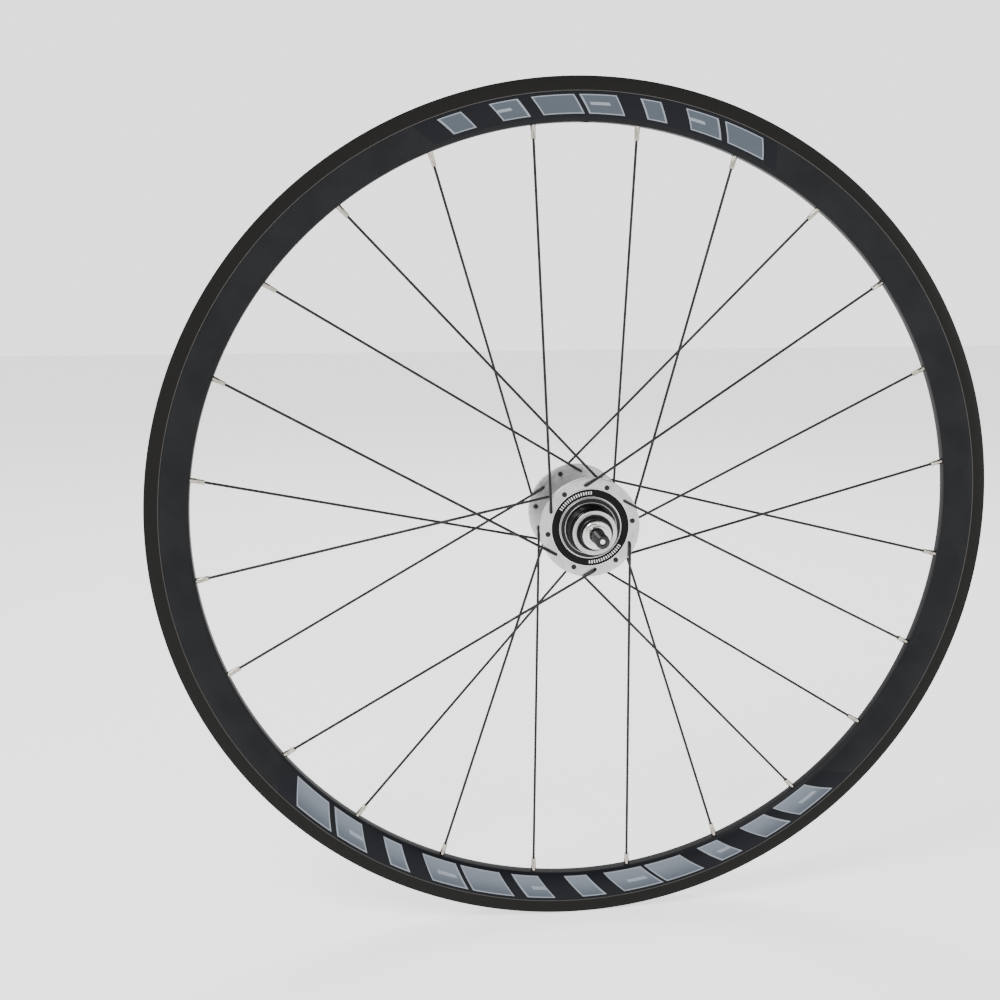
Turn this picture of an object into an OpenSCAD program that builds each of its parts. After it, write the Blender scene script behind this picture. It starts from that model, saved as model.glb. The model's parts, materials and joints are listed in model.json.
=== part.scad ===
// Rear track wheel of a fixed-gear bicycle: 700C clincher rim, 24 spokes laced two-cross,
// high-flange hub on two sealed ball bearings, and a solid axle with locknuts.
// The axle lies along Y through the origin, the wheel's middle. +X is forwards and +Z is up.
// The drive side, which carries the sprocket and lockring threads, faces -Y.

/* [Rim] */
// Radius of the tyre bead seat, half of 622 mm
bead_seat_r = 311; // [200:0.5:400]
// Height of the tyre hook above the bead seat
hook_h = 6; // [4.5:0.1:8]
// Depth of the rim from its outer edge to the spoke bed
rim_depth = 30; // [22:0.5:60]
// Width over the two brake tracks
rim_w = 22; // [18:0.5:30]
// Height of each flat brake track
brake_h = 9.6; // [8:0.1:12]
// Thickness of the wall behind each brake track
brake_wall = 1.8; // [1.2:0.1:2.4]
// Thickness of each side wall
side_wall = 1.1; // [0.9:0.1:2]
// Thickness of the spoke bed
bed_t = 2.2; // [1.6:0.1:3.2]
// Width of the flat strip along the spoke bed
bed_w = 6.4; // [5.6:0.1:8]
// Thickness of the floor under the rim tape
floor_t = 1.2; // [1:0.1:2.2]
// Depth of the tyre well below the bead seat
well_depth = 3; // [2:0.1:4]
// Diameter of the valve hole
valve_d = 6.6; // [6.2:0.1:8.8]
// Place of the valve hole, in degrees from +X towards +Z
valve_angle = 90; // [30:60:330]
// Thickness of the rim tape
tape_t = 0.8; // [0.4:0.1:1.2]

/* [Spokes] */
// Number of spokes
spoke_count = 24; // [20:4:28]
// Number of spokes that each one crosses
crosses = 2; // [1:1:2]
// Diameter of a spoke
spoke_d = 2; // [1.6:0.1:2.4]
// Radius of the elbow, along the middle of the spoke
elbow_r = 2.4; // [2:0.1:4]
// Diameter of the head that stops the spoke in the flange
spoke_head_d = 3.8; // [3.4:0.1:4.4]
// Thickness of that head
spoke_head_t = 1; // [0.6:0.1:1.4]

/* [Nipples] */
// Diameter of the barrel
nipple_d = 4; // [3.6:0.1:5]
// Diameter of the head inside the rim
nipple_head_d = 6; // [5.6:0.1:7]
// Height of the head
nipple_head_t = 2.6; // [2:0.1:3.4]
// Length of the barrel below the head
nipple_barrel_l = 11.4; // [8:0.1:16]
// Distance across the flats that a spoke key grips
nipple_flats = 3.4; // [3:0.1:4.4]
// Length of those flats
nipple_flats_l = 5.6; // [4:0.1:8]

/* [Hub shell] */
// Diameter of both flanges
flange_d = 73.6; // [66:0.1:92]
// Thickness of both flanges
flange_t = 3.4; // [2.6:0.1:4.6]
// Diameter of the circle that the spoke holes lie on
hole_circle_d = 63; // [56:0.1:80]
// Diameter of a spoke hole
spoke_hole_d = 2.5; // [2.5:0.1:3]
// Diameter of the barrel between the flanges
barrel_d = 34; // [30:0.1:42]
// Diameter of the raised boss on each flange
boss_d = 44.8; // [42:0.1:52]
// Height of that boss above the flange
boss_h = 1.6; // [0.8:0.1:3]
// Outer diameter of the dark band around each boss
band_d = 58; // [52:0.1:58.4]
// Thickness of that band
band_t = 0.5; // [0.4:0.1:1]
// Length of the plain nose that holds the far bearing
nose_l = 8.8; // [7:0.1:14]

/* [Sprocket end] */
// Diameter of the sprocket thread, 1.37 inch
cog_thread_d = 34.8; // [34:0.1:42]
// Length of the sprocket thread
cog_thread_l = 9.6; // [8:0.1:13]
// Diameter of the lockring thread, 1.29 inch
lockring_thread_d = 32.8; // [32:0.1:33.6]
// Length of the lockring thread
lockring_thread_l = 4.6; // [3.5:0.1:6]
// Width of the groove between the two threads
relief_w = 0.9; // [0.6:0.1:1.5]
// Diameter of the shoulder that the sprocket seats on
shoulder_d = 38.4; // [37:0.1:44]

/* [Bearings] */
// Outer diameter of a bearing
bearing_d = 26; // [24:0.1:28]
// Width of a bearing
bearing_w = 8; // [7:0.1:10]
// Diameter of a ball
ball_d = 4.76; // [3.9:0.01:4.8]
// Number of balls in a bearing
ball_count = 7; // [5:1:8]
// Thickness of the dust seal in front of each bearing
dust_seal_t = 1.2; // [0.8:0.1:2]

/* [Axle] */
// Diameter of the axle
axle_d = 10; // [9:0.1:10.4]
// Length of axle that stands out past each locknut
axle_end_l = 18; // [12:0.5:30]
// Distance over the two locknuts, which is the gap in the frame
locknut_span = 120; // [110:1:136]
// From the drive-side end of the hub shell to that side's locknut face
drive_gap = 11.6; // [9:0.1:16]
// From the far end of the hub shell to that side's locknut face
far_gap = 15.9; // [9:0.1:22]
// Thickness of a locknut
locknut_t = 5; // [4:0.1:7]
// Diameter of the part of a locknut that a spanner grips
locknut_d = 16.4; // [15:0.1:19]
// Diameter of a locknut's flange
locknut_flange_d = 20.8; // [18:0.1:24]
// Thickness of that flange
locknut_flange_t = 2.4; // [1:0.1:2.8]
// Distance across the flats of a locknut and of the spacer behind it
spanner_flats = 15; // [14:0.1:18]
// Diameter of the disc that covers each dust seal
cover_d = 22; // [19:0.1:24]
// Thickness of that disc
cover_t = 2.2; // [1.5:0.1:3]
// Diameter of the spacer between the disc and the locknut
spacer_d = 18; // [16.5:0.1:20]

/* [Clearances] */
// Gap all round a piece that slips onto or into another one
slip_gap = 0.05; // [0.02:0.01:0.1]
// Gap between a ball and the groove that it runs in
ball_gap = 0.08; // [0.03:0.01:0.1]
// Gap between a turning piece and a still one
turning_gap = 0.35; // [0.3:0.05:0.6]
// Gap all round a nipple where it passes through the spoke bed
nipple_gap = 0.15; // [0.1:0.05:0.3]

/* [Hidden] */
SIDES = ["drive", "far"];
LACINGS = ["leading", "trailing"];
holes_per_flange = spoke_count / 2;

$fn = 96;
rim_fn = 240;
spoke_fn = 24;

// Rim
rim_r = bead_seat_r + hook_h;
bed_r = rim_r - rim_depth;
bed_top_r = bed_r + bed_t;
edge_round = 0.4;
crease_r = rim_r - brake_h - edge_round;
groove_w = 0.6;
groove_depth = 0.4;
well_r = bead_seat_r - well_depth;
hollow_top_r = well_r - floor_t;
channel_w = rim_w - 2 * brake_wall;
seat_w = 3.6;
well_w = channel_w - 2 * seat_w;
well_slope = 1.4;
seat_t = 1.7;
hook_lip = 0.6;
hook_t = 1.4;
wall_slope = 0.3;
wall_steps = 12;
access_d = nipple_head_d + 2.4;
through = 2;

// Spokes
spoke_r = spoke_d / 2;
rim_step = 360 / spoke_count;
hub_step = 360 / holes_per_flange;
first_hole = rim_step / 2;
elbow_h = flange_t / 2 + 0.1;
elbow_swell = 0.04;
elbow_lap = 0.2;
spoke_grip = 1.4;
seat_clearance = 0.1;
head_pocket = 3;
nipple_slot_w = 1;
nipple_slot_depth = 0.9;

// Hub, as heights from the middle towards the drive side
shoulder_t = 0.8;
drive_end = locknut_span / 2 - drive_gap;
far_end = locknut_span / 2 - far_gap;
drive_face = drive_end - lockring_thread_l - relief_w - cog_thread_l - shoulder_t - boss_h;
far_face = far_end - nose_l - boss_h;
band_sink = 0.35;
seal_sink = 0.6;
bearing_r = bearing_d / 2;
nose_r = bearing_r + 2.5;
through_bore_r = bearing_r - 1.8;
pocket_depth = seal_sink + dust_seal_t + bearing_w;
relief_depth = 0.8;
dish_depth = 2;
dish_lip = 3;
barrel_r = barrel_d / 2;
blend_r = 5;
blend_step = 1.5;
edge = 0.5;

// Axle
axle_r = axle_d / 2;
axle_l = locknut_span + 2 * axle_end_l;
neck_r = axle_r + 2;
stop_groove_w = 0.8;
stop_groove_out = 0.4;
stop_groove_depth = 0.4;
axle_chamfer = 0.8;
centre_d = 5.2;
centre_depth = 1.4;
locknut_chamfer = 0.8;

// Bearings
ball_r = ball_d / 2;
groove_r = ball_r + ball_gap;
ball_circle_r = (bearing_d + axle_d) / 4;
outer_race_r = ball_circle_r + ball_r * 0.8;
inner_race_r = ball_circle_r - ball_r * 0.8;
cage_t = 1;
cage_half_w = ball_r + 0.5;
cage_gap = 0.12;
bearing_seal_t = 0.7;
bearing_seal_sink = 0.1;
seal_seat = 0.6;

// 1 on the drive side, -1 on the far side
function side_sign(side) = side == 0 ? 1 : -1;
function flange_h(side) = side_sign(side) * ((side == 0 ? drive_face : far_face) - flange_t / 2);
function hub_end(side) = side == 0 ? drive_end : far_end;
function bearing_h(side) = side_sign(side) * (hub_end(side) - pocket_depth + bearing_w / 2);

// Even holes hold trailing spokes, which lie inside the flange. Odd holes hold leading ones, outside it.
function is_leading(n) = n % 2 == 1;
function hub_angle(side, n) = first_hole + side * rim_step + n * hub_step;
function rim_angle(side, n) = hub_angle(side, n) + (is_leading(n) ? -1 : 1) * crosses * hub_step;
function hub_hole(side, n) = hole_circle_d / 2 * [cos(hub_angle(side, n)), sin(hub_angle(side, n))];
function rim_hole(side, n) = bed_top_r * [cos(rim_angle(side, n)), sin(rim_angle(side, n))];

// 1 when the spoke leaves its flange towards the drive side
function lift(side, n) = side_sign(side) * (is_leading(n) ? 1 : -1);
function run(side, n) = rim_hole(side, n) - hub_hole(side, n);
function heading(side, n) = atan2(run(side, n)[1], run(side, n)[0]);

// From the middle of the elbow to the nipple's seat, in the plane that the spoke bends in
function reach(side, n) = [norm(run(side, n)) - elbow_r, -lift(side, n) * flange_h(side) - elbow_h];
function line_l(side, n) = sqrt(pow(norm(reach(side, n)), 2) - pow(elbow_r, 2));
function rise(side, n) = atan2(reach(side, n)[1], reach(side, n)[0]) - atan2(elbow_r, line_l(side, n));
function bend(side, n) = 90 - rise(side, n);

// Angle between the spoke and the rim's radius at the nipple
function lean(side, n) = acos(cos(rise(side, n)) * cos(heading(side, n) - rim_angle(side, n)));
function seat_l(side, n) = line_l(side, n) - nipple_head_d / 2 * tan(lean(side, n)) - seat_clearance;

// Half of the rim's outline beyond the bed, as radius and height, with a share of the flare at each step
function flare(low_r, high_r, low_h, high_h) = [
    for (i = [wall_steps:-1:0])
        let (turn = 90 * i / wall_steps)
        [high_r - (high_r - low_r) * sin(turn), low_h + (high_h - low_h) * pow(cos(turn), 1.5)]
];
function mirrored(points) = [for (i = [len(points) - 1:-1:0]) [points[i][0], -points[i][1]]];

rim_half = concat(
    flare(bed_r, crease_r - groove_w, bed_w / 2, rim_w / 2 - groove_depth / 2),
    [
        [crease_r - groove_w, rim_w / 2 - groove_depth],
        [crease_r, rim_w / 2 - groove_depth],
        [crease_r, rim_w / 2],
        [rim_r - edge_round, rim_w / 2],
        [rim_r, rim_w / 2 - edge_round],
        [rim_r, channel_w / 2 - hook_lip + edge_round],
        [rim_r - edge_round, channel_w / 2 - hook_lip],
        [rim_r - hook_t, channel_w / 2 - hook_lip],
        [rim_r - hook_t - 2 * edge_round, channel_w / 2],
        [bead_seat_r, channel_w / 2],
        [bead_seat_r, well_w / 2 + well_slope],
        [well_r, well_w / 2]
    ]
);
hollow_half = concat(
    flare(bed_top_r, hollow_top_r, bed_w / 2 - side_wall / 2, rim_w / 2 - side_wall - wall_slope),
    [
        [bead_seat_r - seat_t, rim_w / 2 - side_wall - wall_slope],
        [bead_seat_r - seat_t, well_w / 2 + well_slope],
        [hollow_top_r, well_w / 2]
    ]
);

// Turns what is drawn around +Z, with the drive side up, onto the axle
module on_axle() {
    rotate([90, 0, 0]) children();
}

// Puts the drive side's things as drawn, and turns the far side's over
module at_side(side) {
    rotate([side == 0 ? 0 : 180, 0, 0]) children();
}

// Points +Z from the axle outwards at an angle around the wheel
module outwards(angle) {
    rotate([0, 0, angle]) rotate([0, 90, 0]) children();
}

// A ring or a tube, from one height to another
module ring(inner_r, outer_r, low, high) {
    translate([0, 0, low]) difference() {
        cylinder(r = outer_r, h = high - low);
        translate([0, 0, -1]) cylinder(r = inner_r, h = high - low + 2);
    }
}

// Origin in the spoke's hole at mid flange, X towards the rim hole, +Z to the side the spoke lies on
module at_elbow(side, n) {
    translate([hub_hole(side, n)[0], hub_hole(side, n)[1], flange_h(side)])
        rotate([lift(side, n) > 0 ? 0 : 180, 0, heading(side, n)])
            children();
}

// Origin where the straight part starts, +Z along it
module along_spoke(side, n) {
    at_elbow(side, n)
        translate([elbow_r - elbow_r * sin(rise(side, n)), 0, elbow_h + elbow_r * cos(rise(side, n))])
            rotate([0, bend(side, n), 0])
                children();
}

module rim() {
    color("#2b2b2e") on_axle() difference() {
        rotate_extrude($fn = rim_fn) polygon(concat(rim_half, mirrored(rim_half)));
        rotate_extrude($fn = rim_fn) polygon(concat(hollow_half, mirrored(hollow_half)));
        for (side = [0, 1])
            for (n = [0:holes_per_flange - 1]) {
                along_spoke(side, n) {
                    cylinder(d = nipple_d + 2 * nipple_gap, h = line_l(side, n) + through, $fn = spoke_fn);
                    translate([0, 0, seat_l(side, n)])
                        cylinder(d = nipple_head_d + 2 * nipple_gap, h = head_pocket, $fn = spoke_fn);
                }
                outwards(rim_angle(side, n))
                    translate([0, 0, hollow_top_r - through])
                        cylinder(d = access_d, h = well_depth + floor_t + 2 * through, $fn = 32);
            }
        outwards(valve_angle) translate([0, 0, bed_r - through]) cylinder(d = valve_d, h = rim_depth, $fn = 32);
    }
}

module rim_tape() {
    color("#b9bcc2") on_axle() difference() {
        ring(well_r + slip_gap, well_r + slip_gap + tape_t, slip_gap - well_w / 2, well_w / 2 - slip_gap, $fn = rim_fn);
        outwards(valve_angle) translate([0, 0, well_r - through])
            cylinder(d = valve_d + 1, h = tape_t + 2 * through, $fn = 32);
    }
}

module spoke(side, n) {
    color("#1b1c1e") on_axle() union() {
        at_elbow(side, n) {
            translate([0, 0, -flange_t / 2 - spoke_head_t])
                cylinder(d = spoke_head_d, h = spoke_head_t, $fn = spoke_fn);
            translate([0, 0, -flange_t / 2 - spoke_head_t / 2])
                cylinder(r = spoke_r, h = flange_t / 2 + spoke_head_t / 2 + elbow_h + elbow_lap, $fn = spoke_fn);
            translate([elbow_r, 0, elbow_h]) rotate([90, 0, 0])
                rotate([0, 0, 90 + rise(side, n)])
                    rotate_extrude(angle = bend(side, n), $fn = 48)
                        translate([elbow_r, 0]) circle(r = spoke_r + elbow_swell, $fn = spoke_fn);
        }
        along_spoke(side, n)
            translate([0, 0, -elbow_lap])
                cylinder(r = spoke_r, h = elbow_lap + seat_l(side, n) + spoke_grip, $fn = spoke_fn);
    }
}

// Drawn with its seat at the origin and its head along +Z
module nipple() {
    difference() {
        union() {
            cylinder(d = nipple_head_d, h = nipple_head_t, $fn = spoke_fn);
            translate([0, 0, nipple_flats_l - nipple_barrel_l])
                cylinder(d = nipple_d, h = nipple_barrel_l - nipple_flats_l + 0.5, $fn = spoke_fn);
            intersection() {
                translate([0, 0, -nipple_barrel_l])
                    cylinder(d = nipple_d, h = nipple_flats_l + 0.5, $fn = spoke_fn);
                translate([-nipple_flats / 2, -nipple_flats / 2, -nipple_barrel_l - 1])
                    cube([nipple_flats, nipple_flats, nipple_flats_l + 2]);
            }
        }
        translate([0, 0, -nipple_barrel_l - 1])
            cylinder(r = spoke_r + slip_gap, h = nipple_barrel_l + nipple_head_t + 2, $fn = spoke_fn);
        translate([-nipple_head_d, -nipple_slot_w / 2, nipple_head_t - nipple_slot_depth])
            cube([2 * nipple_head_d, nipple_slot_w, nipple_slot_depth + 1]);
    }
}

// The nipples of one side's leading or trailing spokes
module nipples(side, leading) {
    color("#c9cbd0") on_axle()
        for (n = [0:holes_per_flange - 1])
            if (is_leading(n) == leading)
                along_spoke(side, n) translate([0, 0, seat_l(side, n)]) nipple();
}

module hub_shell() {
    color("#c6c8cc") on_axle() difference() {
        rotate_extrude() polygon([
            [through_bore_r, pocket_depth - far_end],
            [bearing_r, pocket_depth - far_end],
            [bearing_r, -far_end],
            [nose_r - edge, -far_end],
            [nose_r, edge - far_end],
            [nose_r, -far_face - boss_h - dish_depth],
            [boss_d / 2 - dish_lip, -far_face - boss_h],
            [boss_d / 2 - edge, -far_face - boss_h],
            [boss_d / 2, edge - far_face - boss_h],
            [boss_d / 2, band_sink - far_face],
            [band_d / 2, band_sink - far_face],
            [band_d / 2, -far_face],
            [flange_d / 2 - edge, -far_face],
            [flange_d / 2, edge - far_face],
            [flange_d / 2, flange_t - far_face - edge],
            [flange_d / 2 - edge, flange_t - far_face],
            [barrel_r + blend_r, flange_t - far_face],
            [barrel_r + blend_step, flange_t - far_face + blend_step],
            [barrel_r, flange_t - far_face + blend_r],
            [barrel_r, drive_face - flange_t - blend_r],
            [barrel_r + blend_step, drive_face - flange_t - blend_step],
            [barrel_r + blend_r, drive_face - flange_t],
            [flange_d / 2 - edge, drive_face - flange_t],
            [flange_d / 2, drive_face - flange_t + edge],
            [flange_d / 2, drive_face - edge],
            [flange_d / 2 - edge, drive_face],
            [band_d / 2, drive_face],
            [band_d / 2, drive_face - band_sink],
            [boss_d / 2, drive_face - band_sink],
            [boss_d / 2, drive_face + boss_h - edge],
            [boss_d / 2 - edge, drive_face + boss_h],
            [shoulder_d / 2, drive_face + boss_h],
            [shoulder_d / 2, drive_face + boss_h + shoulder_t],
            [cog_thread_d / 2, drive_face + boss_h + shoulder_t],
            [cog_thread_d / 2, drive_end - lockring_thread_l - relief_w],
            [lockring_thread_d / 2 - relief_depth, drive_end - lockring_thread_l - relief_w],
            [lockring_thread_d / 2 - relief_depth, drive_end - lockring_thread_l],
            [lockring_thread_d / 2, drive_end - lockring_thread_l],
            [lockring_thread_d / 2, drive_end - edge],
            [lockring_thread_d / 2 - edge, drive_end],
            [bearing_r, drive_end],
            [bearing_r, drive_end - pocket_depth],
            [through_bore_r, drive_end - pocket_depth]
        ]);
        for (side = [0, 1])
            for (n = [0:holes_per_flange - 1])
                translate([hub_hole(side, n)[0], hub_hole(side, n)[1], flange_h(side) - flange_t])
                    cylinder(d = spoke_hole_d, h = 2 * flange_t, $fn = spoke_fn);
    }
}

// The dark band in its recess, flush against the boss
module hub_band(side) {
    face = side == 0 ? drive_face : far_face;
    color("#17171a") on_axle() at_side(side)
        ring(boss_d / 2 + slip_gap, band_d / 2 - slip_gap, face - band_sink, face - band_sink + band_t);
}

module at_bearing(side) {
    on_axle() translate([0, 0, bearing_h(side)]) children();
}

module bearing_outer_race(side) {
    color("#9fa2a8") at_bearing(side) rotate_extrude() difference() {
        translate([outer_race_r, -bearing_w / 2]) square([bearing_r - slip_gap - outer_race_r, bearing_w]);
        translate([ball_circle_r, 0]) circle(r = groove_r);
        for (way = [0, 1])
            mirror([0, way])
                translate([outer_race_r - 1, bearing_w / 2 - bearing_seal_t - bearing_seal_sink - slip_gap])
                    square([seal_seat + 1 + slip_gap, bearing_w]);
    }
}

module bearing_inner_race(side) {
    color("#9fa2a8") at_bearing(side) rotate_extrude() difference() {
        translate([axle_r + slip_gap, -bearing_w / 2])
            square([inner_race_r - axle_r - slip_gap, bearing_w]);
        translate([ball_circle_r, 0]) circle(r = groove_r);
    }
}

// Puts a copy at each ball's place
module at_balls() {
    for (i = [0:ball_count - 1])
        rotate([0, 0, i * 360 / ball_count]) translate([ball_circle_r, 0, 0]) children();
}

module bearing_balls(side) {
    color("#d4d6da") at_bearing(side) at_balls() sphere(r = ball_r, $fn = 32);
}

module bearing_cage(side) {
    color("#a88a4a") at_bearing(side) difference() {
        ring(ball_circle_r - cage_t / 2, ball_circle_r + cage_t / 2, -cage_half_w, cage_half_w);
        at_balls() rotate([0, 90, 0]) cylinder(r = ball_r + cage_gap, h = 4 * cage_t, center = true);
    }
}

module bearing_seals(side) {
    color("#202124") at_bearing(side)
        for (way = [0, 1])
            mirror([0, 0, way])
                ring(inner_race_r + turning_gap, outer_race_r + seal_seat,
                     bearing_w / 2 - bearing_seal_t - bearing_seal_sink, bearing_w / 2 - bearing_seal_sink);
}

module dust_seal(side) {
    color("#141416") on_axle() at_side(side)
        ring(neck_r + turning_gap, bearing_r - slip_gap,
             hub_end(side) - seal_sink - dust_seal_t + slip_gap, hub_end(side) - seal_sink);
}

module axle() {
    color("#26272a") on_axle() difference() {
        union() {
            cylinder(r = axle_r, h = axle_l - 2 * axle_chamfer, center = true);
            for (way = [0, 1])
                mirror([0, 0, way])
                    translate([0, 0, axle_l / 2 - axle_chamfer])
                        cylinder(r1 = axle_r, r2 = axle_r - axle_chamfer, h = axle_chamfer);
        }
        for (way = [0, 1])
            mirror([0, 0, way]) {
                translate([0, 0, axle_l / 2 - centre_depth]) cylinder(d = centre_d, h = 2 * centre_depth);
                ring(axle_r - stop_groove_depth, axle_r + 1,
                     locknut_span / 2 - stop_groove_w, locknut_span / 2 + stop_groove_out);
            }
    }
}

// Keeps the two inner races apart
module axle_sleeve() {
    color("#8f9297") on_axle()
        ring(axle_r + slip_gap, neck_r, pocket_depth - far_end, drive_end - pocket_depth);
}

// Two parallel flats for a spanner, from one height to another
module spanner_slab(low, high) {
    translate([-spacer_d, -spanner_flats / 2, low]) cube([2 * spacer_d, spanner_flats, high - low]);
}

// Neck on the inner race, disc over the dust seal, and a spacer with flats up to the locknut
module cover_spacer(side) {
    foot = hub_end(side) - seal_sink - dust_seal_t;
    disc = hub_end(side) + turning_gap;
    top = locknut_span / 2 - locknut_t;
    color("#1c1d1f") on_axle() at_side(side) difference() {
        union() {
            translate([0, 0, foot]) cylinder(r = neck_r, h = disc - foot + cover_t / 2);
            translate([0, 0, disc]) cylinder(d = cover_d, h = cover_t - edge);
            translate([0, 0, disc + cover_t - edge])
                cylinder(d1 = cover_d, d2 = cover_d - 2 * edge, h = edge);
            intersection() {
                translate([0, 0, disc + cover_t - edge]) cylinder(d = spacer_d, h = top - disc - cover_t + edge);
                spanner_slab(disc, top);
            }
        }
        translate([0, 0, foot - 1]) cylinder(r = axle_r + slip_gap, h = top - foot + 2);
    }
}

// Flange against the spacer, and a flatted nut in front of it
module locknut(side) {
    low = locknut_span / 2 - locknut_t;
    high = locknut_span / 2;
    color("#d8dadd") on_axle() at_side(side) difference() {
        union() {
            translate([0, 0, low]) cylinder(d = locknut_flange_d, h = locknut_flange_t - edge);
            translate([0, 0, low + locknut_flange_t - edge])
                cylinder(d1 = locknut_flange_d, d2 = locknut_flange_d - 2 * edge, h = edge);
            intersection() {
                translate([0, 0, low]) cylinder(d = locknut_d, h = locknut_t - locknut_chamfer);
                spanner_slab(low, high);
            }
            translate([0, 0, high - locknut_chamfer])
                cylinder(d1 = spanner_flats, d2 = spanner_flats - locknut_chamfer, h = locknut_chamfer);
        }
        translate([0, 0, low - 1]) cylinder(r = axle_r + slip_gap, h = locknut_t + 2);
    }
}

rim();
rim_tape();
for (side = [0, 1]) {
    for (n = [1:holes_per_flange])
        spoke(side, n - 1);
    for (lacing = [0, 1])
        nipples(side, lacing == 0);
}
hub_shell();
hub_band(0);  // hub_band_drive
hub_band(1);  // hub_band_far
for (side = [0, 1]) {
    bearing_outer_race(side);
    bearing_inner_race(side);
    bearing_balls(side);
    bearing_cage(side);
    bearing_seals(side);
}
dust_seal(0);  // dust_seal_drive
dust_seal(1);  // dust_seal_far
axle();
axle_sleeve();
cover_spacer(0);  // cover_spacer_drive
cover_spacer(1);  // cover_spacer_far
locknut(0);  // locknut_drive
locknut(1);  // locknut_far
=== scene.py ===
"""Looks of a rear track wheel: rim, spokes, nipples, hub, sealed bearings and axle.

The axle lies along Y through the origin. The drive side faces -Y, +X is forwards and +Z is up.
Sizes in the dataclasses are in millimetres, as a wheel builder gives them. Meshes are in metres.
"""

import json
import logging
import math
from dataclasses import dataclass, field
from enum import Enum

import bmesh
import bpy
import numpy as np
from mathutils import Matrix, Vector

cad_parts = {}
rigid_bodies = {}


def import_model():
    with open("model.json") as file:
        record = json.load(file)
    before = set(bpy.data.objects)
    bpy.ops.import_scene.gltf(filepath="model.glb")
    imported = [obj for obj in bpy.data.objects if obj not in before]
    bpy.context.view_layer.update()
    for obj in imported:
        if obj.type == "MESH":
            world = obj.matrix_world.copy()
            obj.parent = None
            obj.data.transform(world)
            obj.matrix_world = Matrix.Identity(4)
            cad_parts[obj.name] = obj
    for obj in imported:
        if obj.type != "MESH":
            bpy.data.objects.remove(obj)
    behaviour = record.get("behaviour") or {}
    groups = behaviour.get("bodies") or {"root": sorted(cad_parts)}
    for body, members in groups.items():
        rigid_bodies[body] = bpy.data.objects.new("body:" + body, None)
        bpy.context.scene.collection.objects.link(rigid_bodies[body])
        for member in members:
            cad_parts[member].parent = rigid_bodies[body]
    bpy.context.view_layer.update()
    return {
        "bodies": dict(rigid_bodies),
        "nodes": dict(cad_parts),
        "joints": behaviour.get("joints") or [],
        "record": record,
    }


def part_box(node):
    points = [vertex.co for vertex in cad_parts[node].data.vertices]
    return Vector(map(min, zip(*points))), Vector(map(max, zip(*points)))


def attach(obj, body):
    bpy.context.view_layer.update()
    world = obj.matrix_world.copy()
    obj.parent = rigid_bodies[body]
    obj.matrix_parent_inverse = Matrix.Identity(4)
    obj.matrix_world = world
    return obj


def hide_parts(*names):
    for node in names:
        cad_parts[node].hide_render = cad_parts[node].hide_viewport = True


LOG = logging.getLogger("track_wheel")
MM = 0.001


class Side(Enum):
    """The two sides of the wheel, with the way each one faces along Y."""

    DRIVE = -1
    FAR = 1

    @property
    def word(self) -> str:
        """The side's word in node and piece names."""
        return self.name.lower()


class Lacing(Enum):
    """Leading spokes lie outside their flange and trailing ones inside it."""

    LEADING = 1
    TRAILING = 0

    @property
    def word(self) -> str:
        """The lacing's word in node and piece names."""
        return self.name.lower()


# ---------------------------------------------------------------- node trees


class Graph:
    """A node tree of either kind, with one way to add a node."""

    def __init__(self, tree: bpy.types.NodeTree) -> None:
        """Wraps a tree.

        Args:
            tree: the shader or geometry tree to add nodes to.
        """
        self.tree = tree

    def node(self, kind: str, settings: dict | None = None, **sockets: object) -> bpy.types.Node:
        """Adds a node.

        Args:
            kind: the node's type.
            settings: attributes that are set first. "stops" fills a colour ramp.
            sockets: values or links by input name, with _ for a space, or i0, i1 by place.

        Returns:
            The new node.
        """
        made = self.tree.nodes.new(kind)
        for name, value in (settings or {}).items():
            if name == "stops":
                self._fill_ramp(made.color_ramp, value)
            else:
                setattr(made, name, value)
        for name, value in sockets.items():
            place = int(name[1:]) if name[0] == "i" and name[1:].isdigit() else name.replace("_", " ")
            self.feed(made.inputs[place], value)
        return made

    @staticmethod
    def _fill_ramp(ramp: bpy.types.ColorRamp, stops: list) -> None:
        """Sets a ramp's stops.

        Args:
            ramp: the ramp to fill.
            stops: (place, colour) pairs, lowest first.
        """
        while len(ramp.elements) < len(stops):
            ramp.elements.new(1.0)
        for element, (place, colour) in zip(ramp.elements, stops):
            element.position = place
            element.color = (*colour, 1.0)

    def feed(self, socket: bpy.types.NodeSocket, value: object) -> None:
        """Links or sets an input.

        Args:
            socket: the input.
            value: a Number, an output socket, or a plain value.
        """
        if isinstance(value, Number):
            value = value.socket
        if isinstance(value, bpy.types.NodeSocket):
            self.tree.links.new(value, socket)
        else:
            socket.default_value = value

    def number(self, socket: bpy.types.NodeSocket) -> "Number":
        """An output as a number that Python's operators work on."""
        return Number(self, socket)

    def mix(self, share: object, low: object, high: object) -> bpy.types.NodeSocket:
        """Mixes two colours.

        Args:
            share: how much of the second one shows.
            low: the first colour.
            high: the second colour.

        Returns:
            The mixed colour.
        """
        made = self.node("ShaderNodeMix", {"data_type": "RGBA"})
        self.feed(made.inputs[0], share)
        self.feed(made.inputs[6], low)
        self.feed(made.inputs[7], high)
        return made.outputs[2]


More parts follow.
